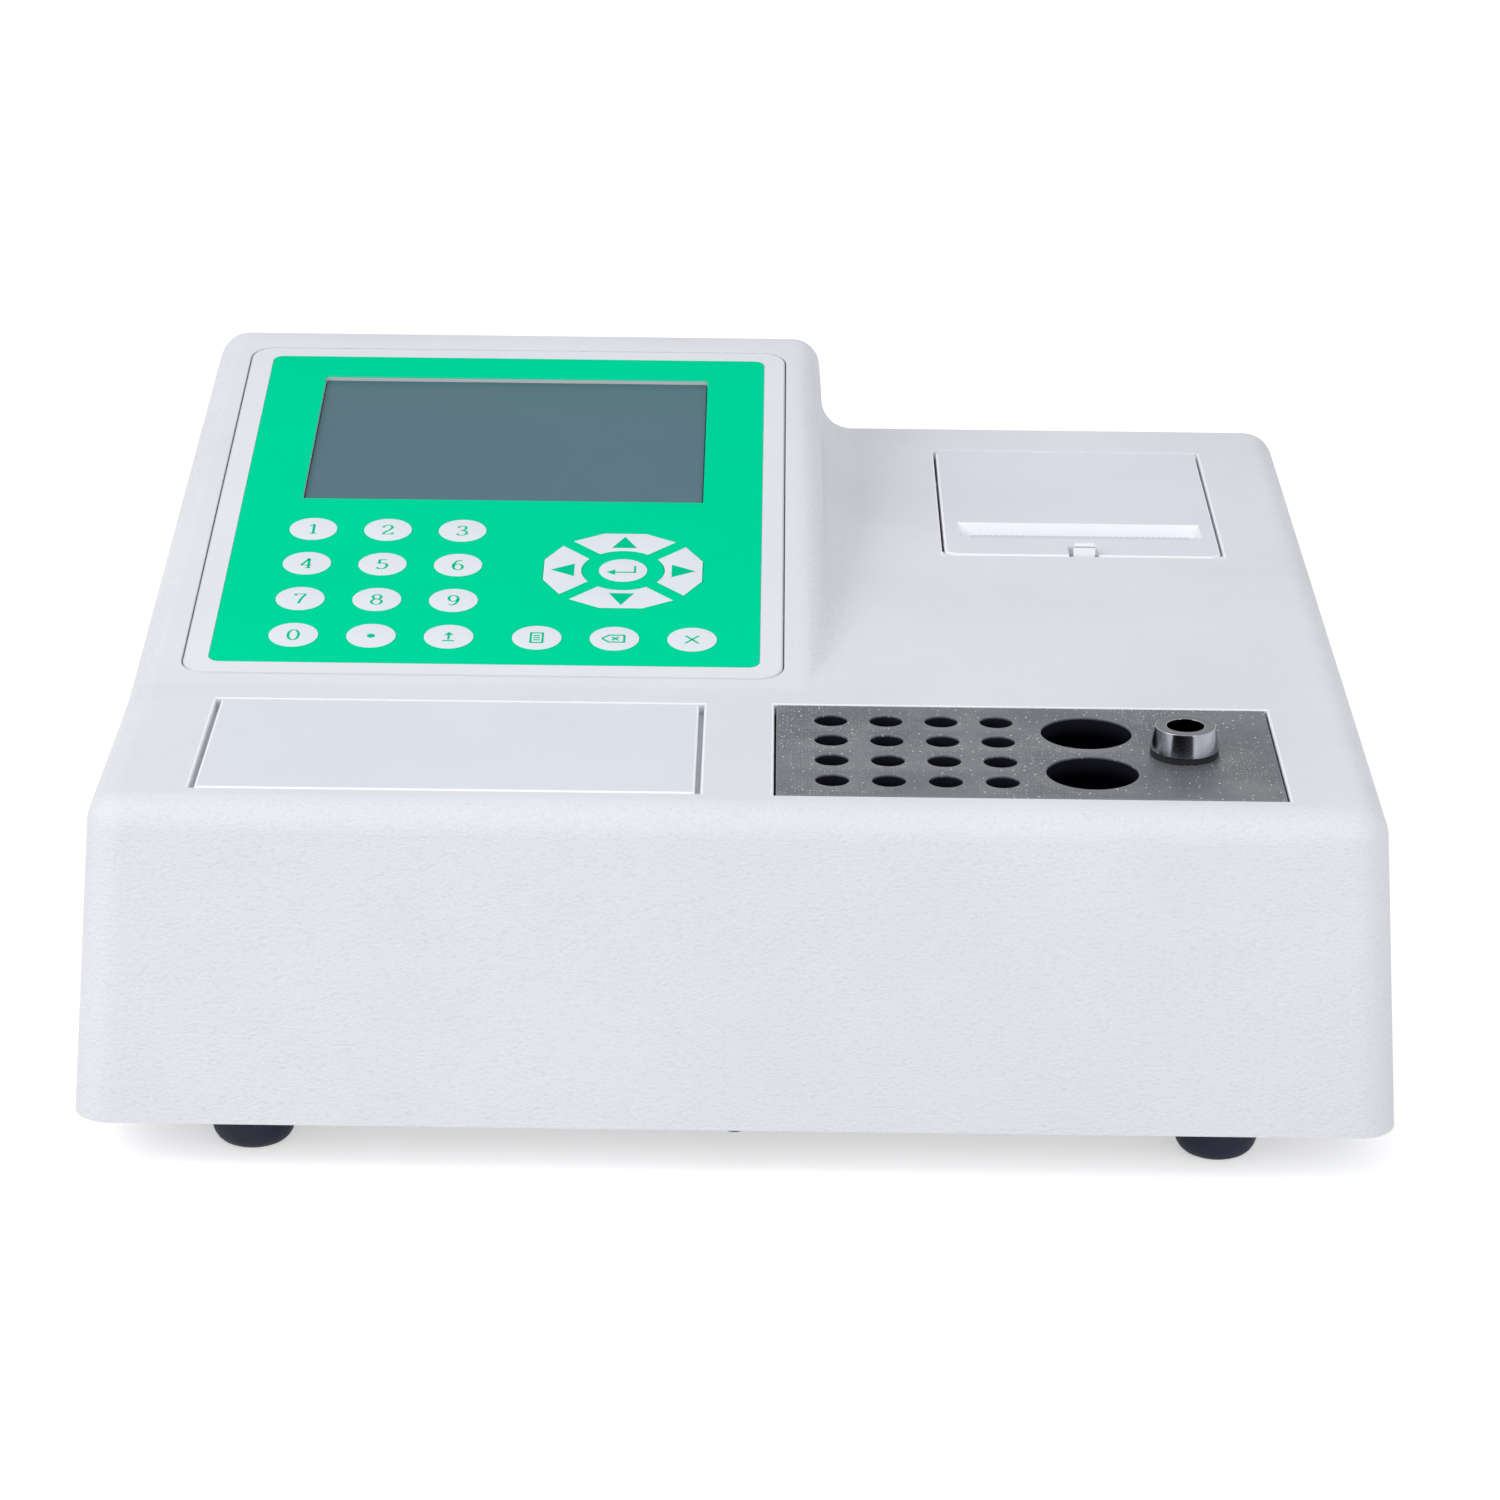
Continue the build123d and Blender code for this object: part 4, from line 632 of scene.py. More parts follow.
def anodised(name, colour, top):
    """Hard anodised aluminium: matte bead-blasted relief, faint stains, scratches and pale dust.

    The bores below the top carry painted shade, nearly black without shine or metal, and their turned rims a painted
    highlight, a little brighter.
    """
    metallic, gleam = 0.25, 0.2
    f = Finish(name, colour, 0.42, Metallic=metallic, Specular_IOR_Level=gleam)
    clouds = f.clouds(45.0)
    f.tint(clouds, shaded(colour, 0.86))
    f.tint(f.clouds(120.0), shaded(colour, 1.08), 0.5)
    f.tint(f.effect("lines", Lines_per_metre=1600.0).outputs["Mask"], shaded(colour, 1.35), 0.18)
    dust = math_node(f.tree, "MULTIPLY", f.dots(1100.0, 0.22, 0.6, "settled_dust"), f.clouds(32.0))
    f.tint(dust, tone(205, 206, 206), 0.8)
    f.tint(f.dots(400.0, 0.095, 0.45, "settled_dust"), tone(232, 232, 228), 0.95)
    height = f.along("Z")
    # Painted highlight: the turned rim of each well painted brighter
    rim = math_node(
        f.tree, "MULTIPLY", math_node(f.tree, "LESS_THAN", height, top - 0.02 * MM),
        math_node(f.tree, "GREATER_THAN", height, top - 0.34 * MM),
    )
    f.tint(rim, shaded(colour, 1.5), 0.8)
    # Painted shade: the wells painted nearly black below the top, with their shine and metal taken away
    below = ramp(f.tree, height, top - 0.3 * MM, top - 0.9 * MM)
    f.tint(below, tone(26, 27, 34))
    f.tint(ramp(f.tree, height, top - 1.0 * MM, top - 6.0 * MM), tone(2, 2, 6))
    f.vary("Specular IOR Level", below, gleam, 0.0)
    f.vary("Metallic", below, metallic, 0.0)
    f.gloss(clouds, 0.37, 0.52)
    f.relief(f.bumps(2600.0), 0.012 * MM)
    return f.done()


def turned_collar(name, colour, centre, bore):
    """Polished dark metal: fine turning lines, a satin top face with painted shade that makes it darker, and painted
    shade that makes the bore black.
    """
    f = Finish(name, colour, 0.2, Metallic=1.0)
    f.tint(f.clouds(160.0), shaded(colour, 0.86))
    # Painted shade: the top face painted darker than the sides; its satin is the rougher gloss
    up = f.facing_up()
    f.tint(up, tone(112, 115, 119))
    f.tint(f.dots(700.0, 0.13, 0.1, "settled_dust"), tone(226, 226, 224), 0.6)
    # Painted shade: the bore painted black
    away = vector_node(f.tree, "SUBTRACT", scaled(f.tree, f.place, (1.0, 1.0, 0.0)), (centre[0], centre[1], 0.0))
    reach = vector_node(f.tree, "LENGTH", away)
    f.tint(math_node(f.tree, "LESS_THAN", reach, bore + 0.12 * MM), tone(7, 7, 14))
    f.gloss(up, 0.17, 0.42)
    f.relief(f.effect("lines", Lines_per_metre=5200.0).outputs["Height"], 0.0008 * MM)
    return f.done()


def bare_metal(name, colour, roughness, lines_per_metre=2500.0):
    """Plated or mill metal: fine lines from rolling or turning, with uneven shine."""
    f = Finish(name, colour, roughness, Metallic=1.0)
    lines = f.effect("lines", Lines_per_metre=lines_per_metre)
    clouds = f.clouds(60.0)
    f.tint(clouds, shaded(colour, 0.85))
    f.tint(lines.outputs["Mask"], shaded(colour, 1.25), 0.3)
    f.gloss(clouds, roughness - 0.07, roughness + 0.08)
    f.relief(lines.outputs["Height"], 0.008 * MM)
    return f.done()


def rubber(name, colour, roughness):
    """Moulded rubber: matte, slightly chalky, fine pores."""
    f = Finish(name, colour, roughness, Specular_IOR_Level=0.35)
    clouds = f.clouds(80.0)
    f.tint(clouds, shaded(colour, 1.3), 0.6)
    f.gloss(clouds, roughness - 0.08, roughness + 0.08)
    f.relief(f.bumps(1800.0), 0.02 * MM)
    return f.done()


def circuit(name, colour, part_height=None):
    """Solder mask with etched tracks under it, and dark components above part_height."""
    f = Finish(name, colour, 0.38, Coat_Weight=0.2)
    brick = f.tree.nodes.new("ShaderNodeTexBrick")
    for label, value in (
        ("Vector", f.place), ("Scale", 130.0), ("Mortar Size", 0.03), ("Color1", (0, 0, 0, 1)),
        ("Color2", (0.35, 0.35, 0.35, 1)), ("Mortar", (1, 1, 1, 1)),
    ):
        put(f.tree, value, brick.inputs[label])
    split = f.tree.nodes.new("ShaderNodeSeparateColor")
    f.tree.links.new(brick.outputs["Color"], split.inputs["Color"])
    tracks = split.outputs["Red"]
    clouds = f.clouds(40.0)
    f.tint(tracks, shaded(colour, 2.2), 0.7)
    f.tint(f.dots(260.0, 0.2, 0.45), tone(196, 190, 170))
    f.tint(clouds, shaded(colour, 0.8), 0.3)
    if part_height is not None:
        f.tint(math_node(f.tree, "GREATER_THAN", f.along("Z"), part_height), tone(36, 37, 40))
    f.gloss(clouds, 0.33, 0.45)
    f.relief(tracks, 0.03 * MM)
    return f.done()


def paper(name, colour):
    """Thermal paper: smooth fibres and a slow unevenness."""
    f = Finish(name, colour, 0.6)
    fibres = f.effect("fibres", Fibres_per_metre=2600.0).outputs["Height"]
    clouds = f.clouds(30.0)
    f.tint(clouds, shaded(colour, 0.96))
    f.tint(fibres, shaded(colour, 0.93), 0.5)
    f.gloss(clouds, 0.55, 0.65)
    f.relief(fibres, 0.02 * MM)
    return f.done()


def outline_of(name, grow_x, grow_y=None):
    """The corners of a node seen from above, each side moved out."""
    low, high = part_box(name)
    grow_y = grow_x if grow_y is None else grow_y
    return (low.x - grow_x, low.y - grow_y), (high.x + grow_x, high.y + grow_y)


def build_finishes(colours):
    """Every material by the record's slot name, and the few that differ from their slot's."""
    deck_openings = [
        outline_of("incubator_block", 0.9 * MM), outline_of("printer_door", 1.0 * MM),
        outline_of("blank_cover", 1.7 * MM, 0.8 * MM),
    ]
    collar_low, collar_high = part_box("measuring_collar")
    board_green = tone(22, 98, 52)
    return {
        # Casing: painted highlight round the deck's openings
        "casing": plastic(
            "casing_plastic", colours.casing, 0.5, 1.0 / sizes().grain_size, 0.2 * MM,
            highlight_outlines=deck_openings, painted_pit_shade=0.4, top_grain_share=0.4, stretch=0.6,
        ),
        # Covers: painted highlight along their outlines, and painted light on their side faces
        "cover_plastic": plastic(
            "cover_plastic", colours.cover, 0.5, 1150.0, 0.02 * MM, 0.04,
            highlight_outlines=[outline_of("blank_cover", -0.3 * MM), outline_of("printer_door", -0.3 * MM)],
            painted_side_lighting=tone(246, 246, 250), painted_pit_shade=0.2, top_grain_share=0.5,
        ),
        # Painted shade darkens the sheet's side faces; painted light makes the overlay's sides paler green; the keys'
        # sides carry the overlay's green as a painted reflection
        "console_sheet": printed_sheet("console_sheet", colours.sheet, 0.5, 0.3, painted_side_lighting=tone(212, 213, 216)),
        "green_overlay": printed_sheet("green_overlay", colours.overlay, 0.6, 0.0, 0.15, tone(70, 232, 184)),
        "key_white": printed_sheet("key_cap", colours.key, 0.55, 0.15, painted_side_lighting=colours.overlay),
        "sign_green": printed_sheet("sign_green", tone(0, 200, 145), 0.6, 0.0),
        "lcd_glass": display_glass("display_glass", colours.display),
        "steel": bare_metal("plated_steel", tone(184, 186, 190), 0.3),
        "screw_steel": bare_metal("blackened_steel", tone(84, 88, 94), 0.35),
        "bracket_metal": bare_metal("mill_aluminium", tone(205, 206, 208), 0.38, 1800.0),
        "pinion_metal": bare_metal("turned_brass", tone(205, 172, 96), 0.28, 4000.0),
        "brass_posts": bare_metal("turned_posts", tone(198, 168, 100), 0.3, 4000.0),
        "supply_case": bare_metal("supply_case", tone(196, 198, 200), 0.4, 1500.0),
        "block_metal": anodised("anodised_block", colours.block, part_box("incubator_block")[1].z),
        "collar_metal": turned_collar(
            "dark_turned_collar", tone(168, 171, 180), (collar_low + collar_high) / 2, MEASURING_WELL[0]
        ),
        "board": circuit("soldermask", board_green),
        "main_board": circuit("main_board_mask", board_green, 24.8 * MM),
        "latch": latch_plastic("latch_plastic", tone(243, 243, 247)),
        "tear_bar": plastic("tear_bar", tone(212, 215, 224), 0.5, 1600.0, 0.012 * MM, 0.03),
        "printer_plastic": plastic("printer_plastic", tone(237, 237, 241), 0.45, 1600.0, 0.012 * MM, 0.03),
        "gear_plastic": plastic("gear_plastic", tone(226, 223, 210), 0.42, 2600.0, 0.008 * MM, 0.02),
        "head_ceramic": plastic("head_ceramic", tone(218, 214, 204), 0.2, 2400.0, 0.006 * MM, 0.03),
        "black_plastic": plastic("black_plastic", tone(42, 42, 45), 0.45, 1500.0, 0.02 * MM, 0.02, 0.2),
        "light_body": plastic("epoxy_body", tone(90, 92, 100), 0.25, 3000.0, 0.005 * MM, 0.02, 0.1),
        "base_metal": plastic("powder_coat", tone(206, 208, 212), 0.55, 2200.0, 0.03 * MM, 0.05, 0.05),
        "heater_rubber": rubber("silicone_pad", tone(176, 74, 44), 0.7),
        "platen_rubber": rubber("platen_rubber", tone(40, 41, 43), 0.6),
        "foot_rubber": rubber("foot_rubber", colours.rubber, 0.55),
        "paper": paper("thermal_paper", tone(246, 246, 243)),
    }


FINISHES = {}


def finish_of(name):
    """One of the materials, made with all the others the first time one is asked for."""
    if not FINISHES:
        GROUPS.update(build_groups())
        FINISHES.update(build_finishes(bpy.context.scene.analyzer_colours))
    return FINISHES[name]


def dress(*nodes, finish=None):
    """Gives CAD nodes the material of their record slot, or another one."""
    for name in nodes:
        materials = frame["nodes"][name].data.materials
        materials.clear()
        materials.append(finish_of(finish or SLOTS[name]))


def place_piece(piece, slot_name, body, *nodes, finish=None):
    """Dresses a new piece, lets it ride on a body and stand for the CAD nodes it replaces."""
    piece.data.materials.append(finish_of(finish or slot_name))
    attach(piece, body)
    if nodes:
        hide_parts(*nodes)


def sizes():
    """The details' sizes."""
    return bpy.context.scene.analyzer_sizes


# ---------------------------------------------------------------- the pieces


def rounded_rectangle(centre, half, corner, z, steps=5):
    """A rectangle with round corners at one height: corner centres plus r (cos a, sin a), a quarter each."""
    a = np.linspace(0, math.pi / 2, steps)
    quarters = []
    for k, (sx, sy) in enumerate(((1, 1), (-1, 1), (-1, -1), (1, -1))):
        b = a + k * math.pi / 2
        x = centre[0] + sx * (half[0] - corner) + corner * np.cos(b)
        y = centre[1] + sy * (half[1] - corner) + corner * np.sin(b)
        quarters.append(np.stack([x, y, np.full(steps, z)], axis=-1))
    return np.concatenate(quarters)


class CasingShell(bpy.types.Operator):
    """Moulded shell and base plate, with the grain of the mould."""

    bl_idname = "analyzer.casing_shell"
    bl_label = "Casing"

    def execute(self, context):
        dress("top_shell", "base_plate")
        return {"FINISHED"}


class ConsoleFace(bpy.types.Operator):
    """White console plate, green overlay, display and what lies under them."""

    bl_idname = "analyzer.console_face"
    bl_label = "Console"

    def execute(self, context):
        dress("console_plate", "keypad_overlay", "display_tray", "display_board", "keyboard", "snap_domes")
        # Display: glass cell on its frame, in stacked rectangles with rounded corners, face just under the overlay
        p = to_plane(node_points("display_panel"))
        low, high = p.min(0), p.max(0)
        centre, half = (low + high)[:2] / 2, (high - low)[:2] / 2
        inset, face, bevel = 3.7 * MM, -1.35 * MM, 0.1 * MM
        panel_corner, glass_corner = 0.5 * MM, 0.6 * MM
        levels = [
            (0.0, low[2], panel_corner), (0.0, high[2], panel_corner), (inset, high[2], glass_corner),
            (inset, face - bevel, glass_corner), (inset + bevel, face, glass_corner),
        ]
        rings = [rounded_rectangle(centre, half - i, corner, z) for i, z, corner in levels]
        piece = make_piece("display", *stacked([from_plane(np.stack(rings))]), 30)
        place_piece(piece, "lcd_glass", "casing", "display_panel")
        return {"FINISHED"}


ROUND_KEYS = ("1", "2", "3", "4", "5", "6", "7", "8", "9", "0", "point", "feed", "print", "delete", "escape", "enter")
ARROW_KEYS = (("up", 0.5 * math.pi), ("left", math.pi), ("down", 1.5 * math.pi), ("right", 0.0))
KEY_RADIUS = 6.6 * MM
FLANGE_HALF = 7.4 * MM
FLANGE_THICKNESS = 0.8 * MM
ARROW_FLANGE = 0.8 * MM
CROSS_OUTER = 21.5 * MM
CROSS_HOLE = 11.2 * MM
CROSS_HALF_GAP = 1.9 * MM
SIGN_ROOT = 0.05 * MM


def key_box(key_name):
    """Lowest and highest corner of a key in the sloping face's terms."""
    p = to_plane(node_points("key_" + key_name))
    return p.min(0), p.max(0)


def cross_centre():
    """The middle of the four arrow keys, which is the enter key's."""
    low, high = key_box("enter")
    return ((low + high) / 2)[:2]


def key_levels(low, high, edge):
    """Heights of a key's outlines, two for the flange and the rest for the cap, and the insets of the cap's."""
    inset, drop = rounded_top(edge).T
    flange_top = low[2] + FLANGE_THICKNESS
    return [low[2], flange_top, flange_top, *(high[2] - drop)], [0.0, *inset]


def round_key(key_name, edge, steps):
    """A round key in stacked outlines: square flange, round cap, quarter round edge.

    The cap's outline is r = R, the flange's is r = h / max(|cos a|, |sin a|).
    """
    low, high = key_box(key_name)
    heights, insets = key_levels(low, high, edge)
    a = np.linspace(0, 2 * math.pi, steps, endpoint=False)
    square = FLANGE_HALF / np.maximum(np.abs(np.cos(a)), np.abs(np.sin(a)))
    radii = np.array([square, square, *(np.full(steps, KEY_RADIUS) - i for i in insets)])
    centre = (low + high) / 2
    level = np.broadcast_to(np.array(heights)[:, None], radii.shape)
    rings = np.stack([centre[0] + radii * np.cos(a), centre[1] + radii * np.sin(a), level], axis=-1)
    return stacked([from_plane(rings)])


def spun(points, turn):
    """Flat points turned about (0, 0) by an angle."""
    c, s = math.cos(turn), math.sin(turn)
    return points @ np.array([[c, s], [-s, c]])


def arrow_outline(grow, centre, turn, samples=8):
    """One quarter of a twelve-sided ring. Outer radius r = A / cos(b), b from the middle of each flat side;
    inner radius is constant; both run between the diagonals, held off them by half the gap."""
    outer, inner, gap = CROSS_OUTER + grow, CROSS_HOLE - grow, CROSS_HALF_GAP - grow
    corner = math.pi / 12
    end = math.pi / 4 - math.asin(gap / (outer / math.cos(corner)))
    inner_end = math.pi / 4 - math.asin(gap / inner)
    a = np.concatenate([
        np.linspace(-end, -corner, samples, endpoint=False),
        np.linspace(-corner, corner, 2 * samples, endpoint=False),
        np.linspace(corner, end, samples + 1),
    ])
    r = outer / np.cos((a + corner) % (2 * corner) - corner)
    b = a / end * inner_end
    far = np.stack([r * np.cos(a), r * np.sin(a)], axis=-1)
    near = np.stack([inner * np.cos(b), inner * np.sin(b)], axis=-1)
    return spun(np.concatenate([far, near[::-1]]), turn) + centre


def arrow_key(key_name, turn, edge, centre):
    """An arrow key: the quarter ring in stacked outlines, with a flange below and a rounded edge above."""
    heights, insets = key_levels(*key_box(key_name), edge)
    grows = [ARROW_FLANGE, ARROW_FLANGE, *(-i for i in insets)]
    rings = np.stack([at_height(arrow_outline(g, centre, turn), z) for g, z in zip(grows, heights)])
    rows, count = rings.shape[:2]
    # The ends are strips of four corners between the outer and the inner line
    i = np.arange(count // 2 - 1)
    strip = np.stack([i, i + 1, count - 2 - i, count - 1 - i], axis=-1)
    faces = ring_faces(rows, count, 0, False, False)
    faces += (strip + (rows - 1) * count).tolist() + strip[:, ::-1].tolist()
    return from_plane(rings.reshape(-1, 3)), faces


class KeyCaps(bpy.types.Operator):
    """Twenty key caps, each riding on its own key."""

    bl_idname = "analyzer.key_caps"
    bl_label = "Key caps"

    def execute(self, context):
        s = sizes()
        centre = cross_centre()
        caps = [(key_name, round_key(key_name, s.key_edge, s.round_steps)) for key_name in ROUND_KEYS]
        caps += [(key_name, arrow_key(key_name, turn, s.key_edge, centre)) for key_name, turn in ARROW_KEYS]
        for key_name, (points, faces) in caps:
            node = "key_" + key_name
            place_piece(make_piece("cap_" + key_name, points, faces, 40), "key_white", node, node)
        return {"FINISHED"}


def filled(outline, low, high):
    """A flat sign from a convex or arrow-shaped outline, as one short stack."""
    o = np.asarray(outline, float)
    return np.stack([at_height(o, z) for z in (low, high)])


def sign_tubes(key_name, height, low, high):
    """The inked sign of one key, centred on (0, 0), in tubes."""
    thick, thin = 0.135 * height, 0.066 * height
    if key_name in DIGITS:
        tubes = []
        for points, bend in DIGITS[key_name]:
            p = (np.asarray(points, float) - (0.3, 0.5)) * (height, height)
            tubes.append(pen_stroke(drawn_line(p, bend), thick, thin, low, high))
        return tubes
    height *= 0.95
    pen = 0.115 * height

    def lines(*runs):
        return [ribbon(drawn_line(np.asarray(r, float) * height, False, 3), pen, low, high) for r in runs]

    if key_name == "point":
        a = np.linspace(0, 2 * math.pi, 20, endpoint=False)
        return [filled(np.stack([np.cos(a), np.sin(a)], axis=-1) * 0.21 * height, low, high)]
    if key_name == "feed":
        head = np.array([(0.0, 0.5), (-0.24, 0.16), (0.24, 0.16)]) * height
        return [filled(head, low, high)] + lines([(0, 0.2), (0, -0.3)], [(-0.3, -0.42), (0.3, -0.42)])
    if key_name == "print":
        return lines(
            [(-0.3, -0.5), (0.3, -0.5)], [(0.3, -0.54), (0.3, 0.5)], [(0.34, 0.5), (-0.3, 0.5)],
            [(-0.3, 0.54), (-0.3, -0.54)], [(-0.16, 0.22), (0.16, 0.22)], [(-0.16, 0.0), (0.16, 0.0)],
            [(-0.16, -0.22), (0.16, -0.22)],
        )
    if key_name == "delete":
        return lines(
            [(-0.62, 0), (-0.28, 0.36)], [(-0.3, 0.36), (0.5, 0.36)], [(0.5, 0.4), (0.5, -0.4)],
            [(0.5, -0.36), (-0.3, -0.36)], [(-0.28, -0.36), (-0.62, 0)], [(-0.12, 0.17), (0.22, -0.17)],
            [(-0.12, -0.17), (0.22, 0.17)],
        )
    if key_name == "escape":
        return lines([(-0.34, 0.4), (0.34, -0.4)], [(-0.34, -0.4), (0.34, 0.4)])
    if key_name == "enter":
        head = np.array([(-0.85, -0.2), (-0.4, -0.5), (-0.4, 0.1)]) * height
        return [filled(head, low, high)] + lines([(0.62, 0.5), (0.62, -0.24)], [(0.66, -0.2), (-0.45, -0.2)])
    raise ValueError("no sign is drawn for key " + key_name)


class KeySigns(bpy.types.Operator):
    """Digits, arrows and plain signs inked on the keys."""

    bl_idname = "analyzer.key_signs"
    bl_label = "Key signs"

    def execute(self, context):
        s = sizes()
        signs = []
        for key_name in ROUND_KEYS:
            low, high = key_box(key_name)
            tubes = sign_tubes(key_name, s.digit_height, high[2] - SIGN_ROOT, high[2] + s.ink_height)
            shift = np.array([(low[0] + high[0]) / 2, (low[1] + high[1]) / 2, 0.0])
            signs.append((key_name, [t + shift for t in tubes]))
        centre, reach = cross_centre(), 16.35 * MM
        for key_name, turn in ARROW_KEYS:
            top = key_box(key_name)[1][2]
            tall, wide = (3.3 * MM, 3.4 * MM) if key_name in ("up", "down") else (3.2 * MM, 3.6 * MM)
            head = np.array([(tall, 0.0), (-tall, wide), (-tall, -wide)]) + (reach, 0.0)
            signs.append((key_name, [filled(spun(head, turn) + centre, top - SIGN_ROOT, top + s.ink_height)]))
        for key_name, tubes in signs:
            piece = make_piece("sign_" + key_name, *stacked([from_plane(t) for t in tubes]))
            place_piece(piece, "green_overlay", "key_" + key_name, finish="sign_green")
        return {"FINISHED"}


# Wells as (radius, depth), and their places from the block's left edge
CUVETTE_WELL = (4.25 * MM, 32.0 * MM)
REAGENT_WELL = (11.5 * MM, 30.0 * MM)
MEASURING_WELL = (4.6 * MM, 34.0 * MM)
CUVETTE_ROWS = 4
CUVETTE_START = 13.85 * MM
CUVETTE_PITCH = 14.0 * MM
REAGENT_START = 78.35 * MM
REAGENT_PITCH = 27.9 * MM
MEASURING_START = 102.05 * MM
REAGENT_CELL = (64.0 * MM, 92.5 * MM)


def well_cell(x_lines, y_lines, centre, rings, top, share=12):
    """One cell of the block's top with a well in it. The outer ring runs round the cell and has share points
    between neighbouring grid lines, so that cells meet point on point; each inner ring is the same points
    drawn in to a circle: c + r (p - c) / |p - c|, at its own depth."""
    xs, ys = (
        np.concatenate([np.linspace(a, b, share, endpoint=False) for a, b in zip(line, line[1:])])
        for line in (x_lines, y_lines)
    )
    x0, x1, y0, y1 = x_lines[0], x_lines[-1], y_lines[0], y_lines[-1]
    back_x, back_y = np.append(xs[1:], x1)[::-1], np.append(ys[1:], y1)[::-1]
    sides = ((xs, y0), (x1, ys), (back_x, y1), (x0, back_y))
    edge = np.concatenate([np.stack(np.broadcast_arrays(x, y), axis=-1) for x, y in sides])
    # The points' own directions from the centre, drawn two thirds of the way to even steps
    way = edge - centre
    angle = np.unwrap(np.arctan2(way[:, 1], way[:, 0]))
    even = np.linspace(0, 2 * math.pi, len(angle), endpoint=False) + angle[0]
    angle = 0.35 * angle + 0.65 * even
    way = np.stack([np.cos(angle), np.sin(angle)], axis=-1)
    return np.stack([at_height(edge, top)] + [at_height(centre + r * way, z) for r, z in rings])


def well_rings(well, rim, top):
    """(radius, height) of a well's rings: turned edge, wall and rounded foot."""
    radius, depth = well
    foot, floor = 0.5 * MM, top - depth
    return [
        (radius + rim, top), (radius + rim * 0.3, top - rim * 0.3), (radius, top - rim),
        (radius, top - depth * 0.5), (radius, floor + foot), (radius - foot * 0.3, floor + foot * 0.3),
        (radius - foot, floor), (radius * 0.5, floor),
    ]


def block_mesh(edge, rim):
    """The block: one cell for each well, and the sides with a broken top edge."""
    low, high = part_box("incubator_block")
    x0, x1, y0, y1, top = low.x, high.x, low.y, high.y, high.z
    middle = np.array([(x0 + x1) / 2, (y0 + y1) / 2])
    cuvette_x = [x0 + CUVETTE_START + CUVETTE_PITCH * i for i in range(CUVETTE_ROWS)]
    cuvette_y = [middle[1] + CUVETTE_PITCH * (j - (CUVETTE_ROWS - 1) / 2) for j in range(CUVETTE_ROWS)]
    cell_x = [c + CUVETTE_PITCH / 2 for c in cuvette_x[:-1]] + [x0 + c for c in REAGENT_CELL]
    x_lines = [x0 + edge, *cell_x, x1 - edge]
    y_lines = [y0 + edge, *(c + CUVETTE_PITCH / 2 for c in cuvette_y[:-1]), y1 - edge]
    wells = [
        (x_lines[i : i + 2], y_lines[j : j + 2], (x, y), CUVETTE_WELL)
        for i, x in enumerate(cuvette_x) for j, y in enumerate(cuvette_y)
    ]
    for j in range(2):
        place = (x0 + REAGENT_START, middle[1] + (j - 0.5) * REAGENT_PITCH)
        wells.append((x_lines[4:6], y_lines[2 * j : 2 * j + 3], place, REAGENT_WELL))
    wells.append((x_lines[5:7], y_lines, (x0 + MEASURING_START, middle[1]), MEASURING_WELL))
    points, faces, first = [], [], 0
    for xs, ys, centre, well in wells:
        cell = well_cell(xs, ys, centre, well_rings(well, rim, top), top)
        faces += ring_faces(*cell.shape[:2], first, False, True)
        points.append(cell.reshape(-1, 3))
        first += len(points[-1])
    # Sides: the same edge points as the cells have, in three rings from the bottom up
    upper = well_cell(x_lines, y_lines, middle, [], top)[0]
    off = upper[:, :2] - middle
    at_side = np.isclose(np.abs(off), (middle[0] - x0 - edge, middle[1] - y0 - edge))
    wide = at_height(upper[:, :2] + np.sign(off) * at_side * edge, top - edge)
    foot = at_height(wide[:, :2], low.z)
    sides = np.stack([foot, wide, upper])
    faces += ring_faces(*sides.shape[:2], first, True, False)
    points.append(sides.reshape(-1, 3))
    return np.concatenate(points), faces


def collar_mesh(steps):
    """The measuring collar: a cone with rounded edges round its bore."""
    low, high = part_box("measuring_collar")
    tall, outer, bore, neck = high.z - low.z, (high.x - low.x) / 2, MEASURING_WELL[0], 7.6 * MM
    profile = [(bore, 0.0), (outer - 0.2 * MM, 0.0), (outer, 0.25 * MM)]
    profile += [(neck - inset, tall - drop) for inset, drop in rounded_top(0.25 * MM)]
    profile += [(bore + 0.45 * MM, tall), (bore + 0.15 * MM, tall - 0.15 * MM), (bore, tall - 0.45 * MM), (bore, 0.0)]
    rings = turned(profile, ((low.x + high.x) / 2, (low.y + high.y) / 2, low.z), steps)
    return rings, ring_faces(len(profile), steps, 0, False, False)


class HeatedBlock(bpy.types.Operator):
    """Anodised block with its wells, the collar round the measuring well and the heater below."""

    bl_idname = "analyzer.heated_block"
    bl_label = "Heated block"

    def execute(self, context):
        s = sizes()
        block = make_piece("heated_block", *block_mesh(s.block_edge, s.well_rim), 35)
        place_piece(block, "block_metal", "casing", "incubator_block")
        collar = make_piece("collar", *collar_mesh(s.round_steps), 35)
        place_piece(collar, "collar_metal", "casing", "measuring_collar")
        dress("collar_ring", "heater_pad", "temperature_sensor", "light_source", "light_detector", "block_bracket")
        return {"FINISHED"}


class BlankCover(bpy.types.Operator):
    """Plain cover over the second block place."""

    bl_idname = "analyzer.blank_cover"
    bl_label = "Blank cover"

    def execute(self, context):
        dress("blank_cover")
        return {"FINISHED"}


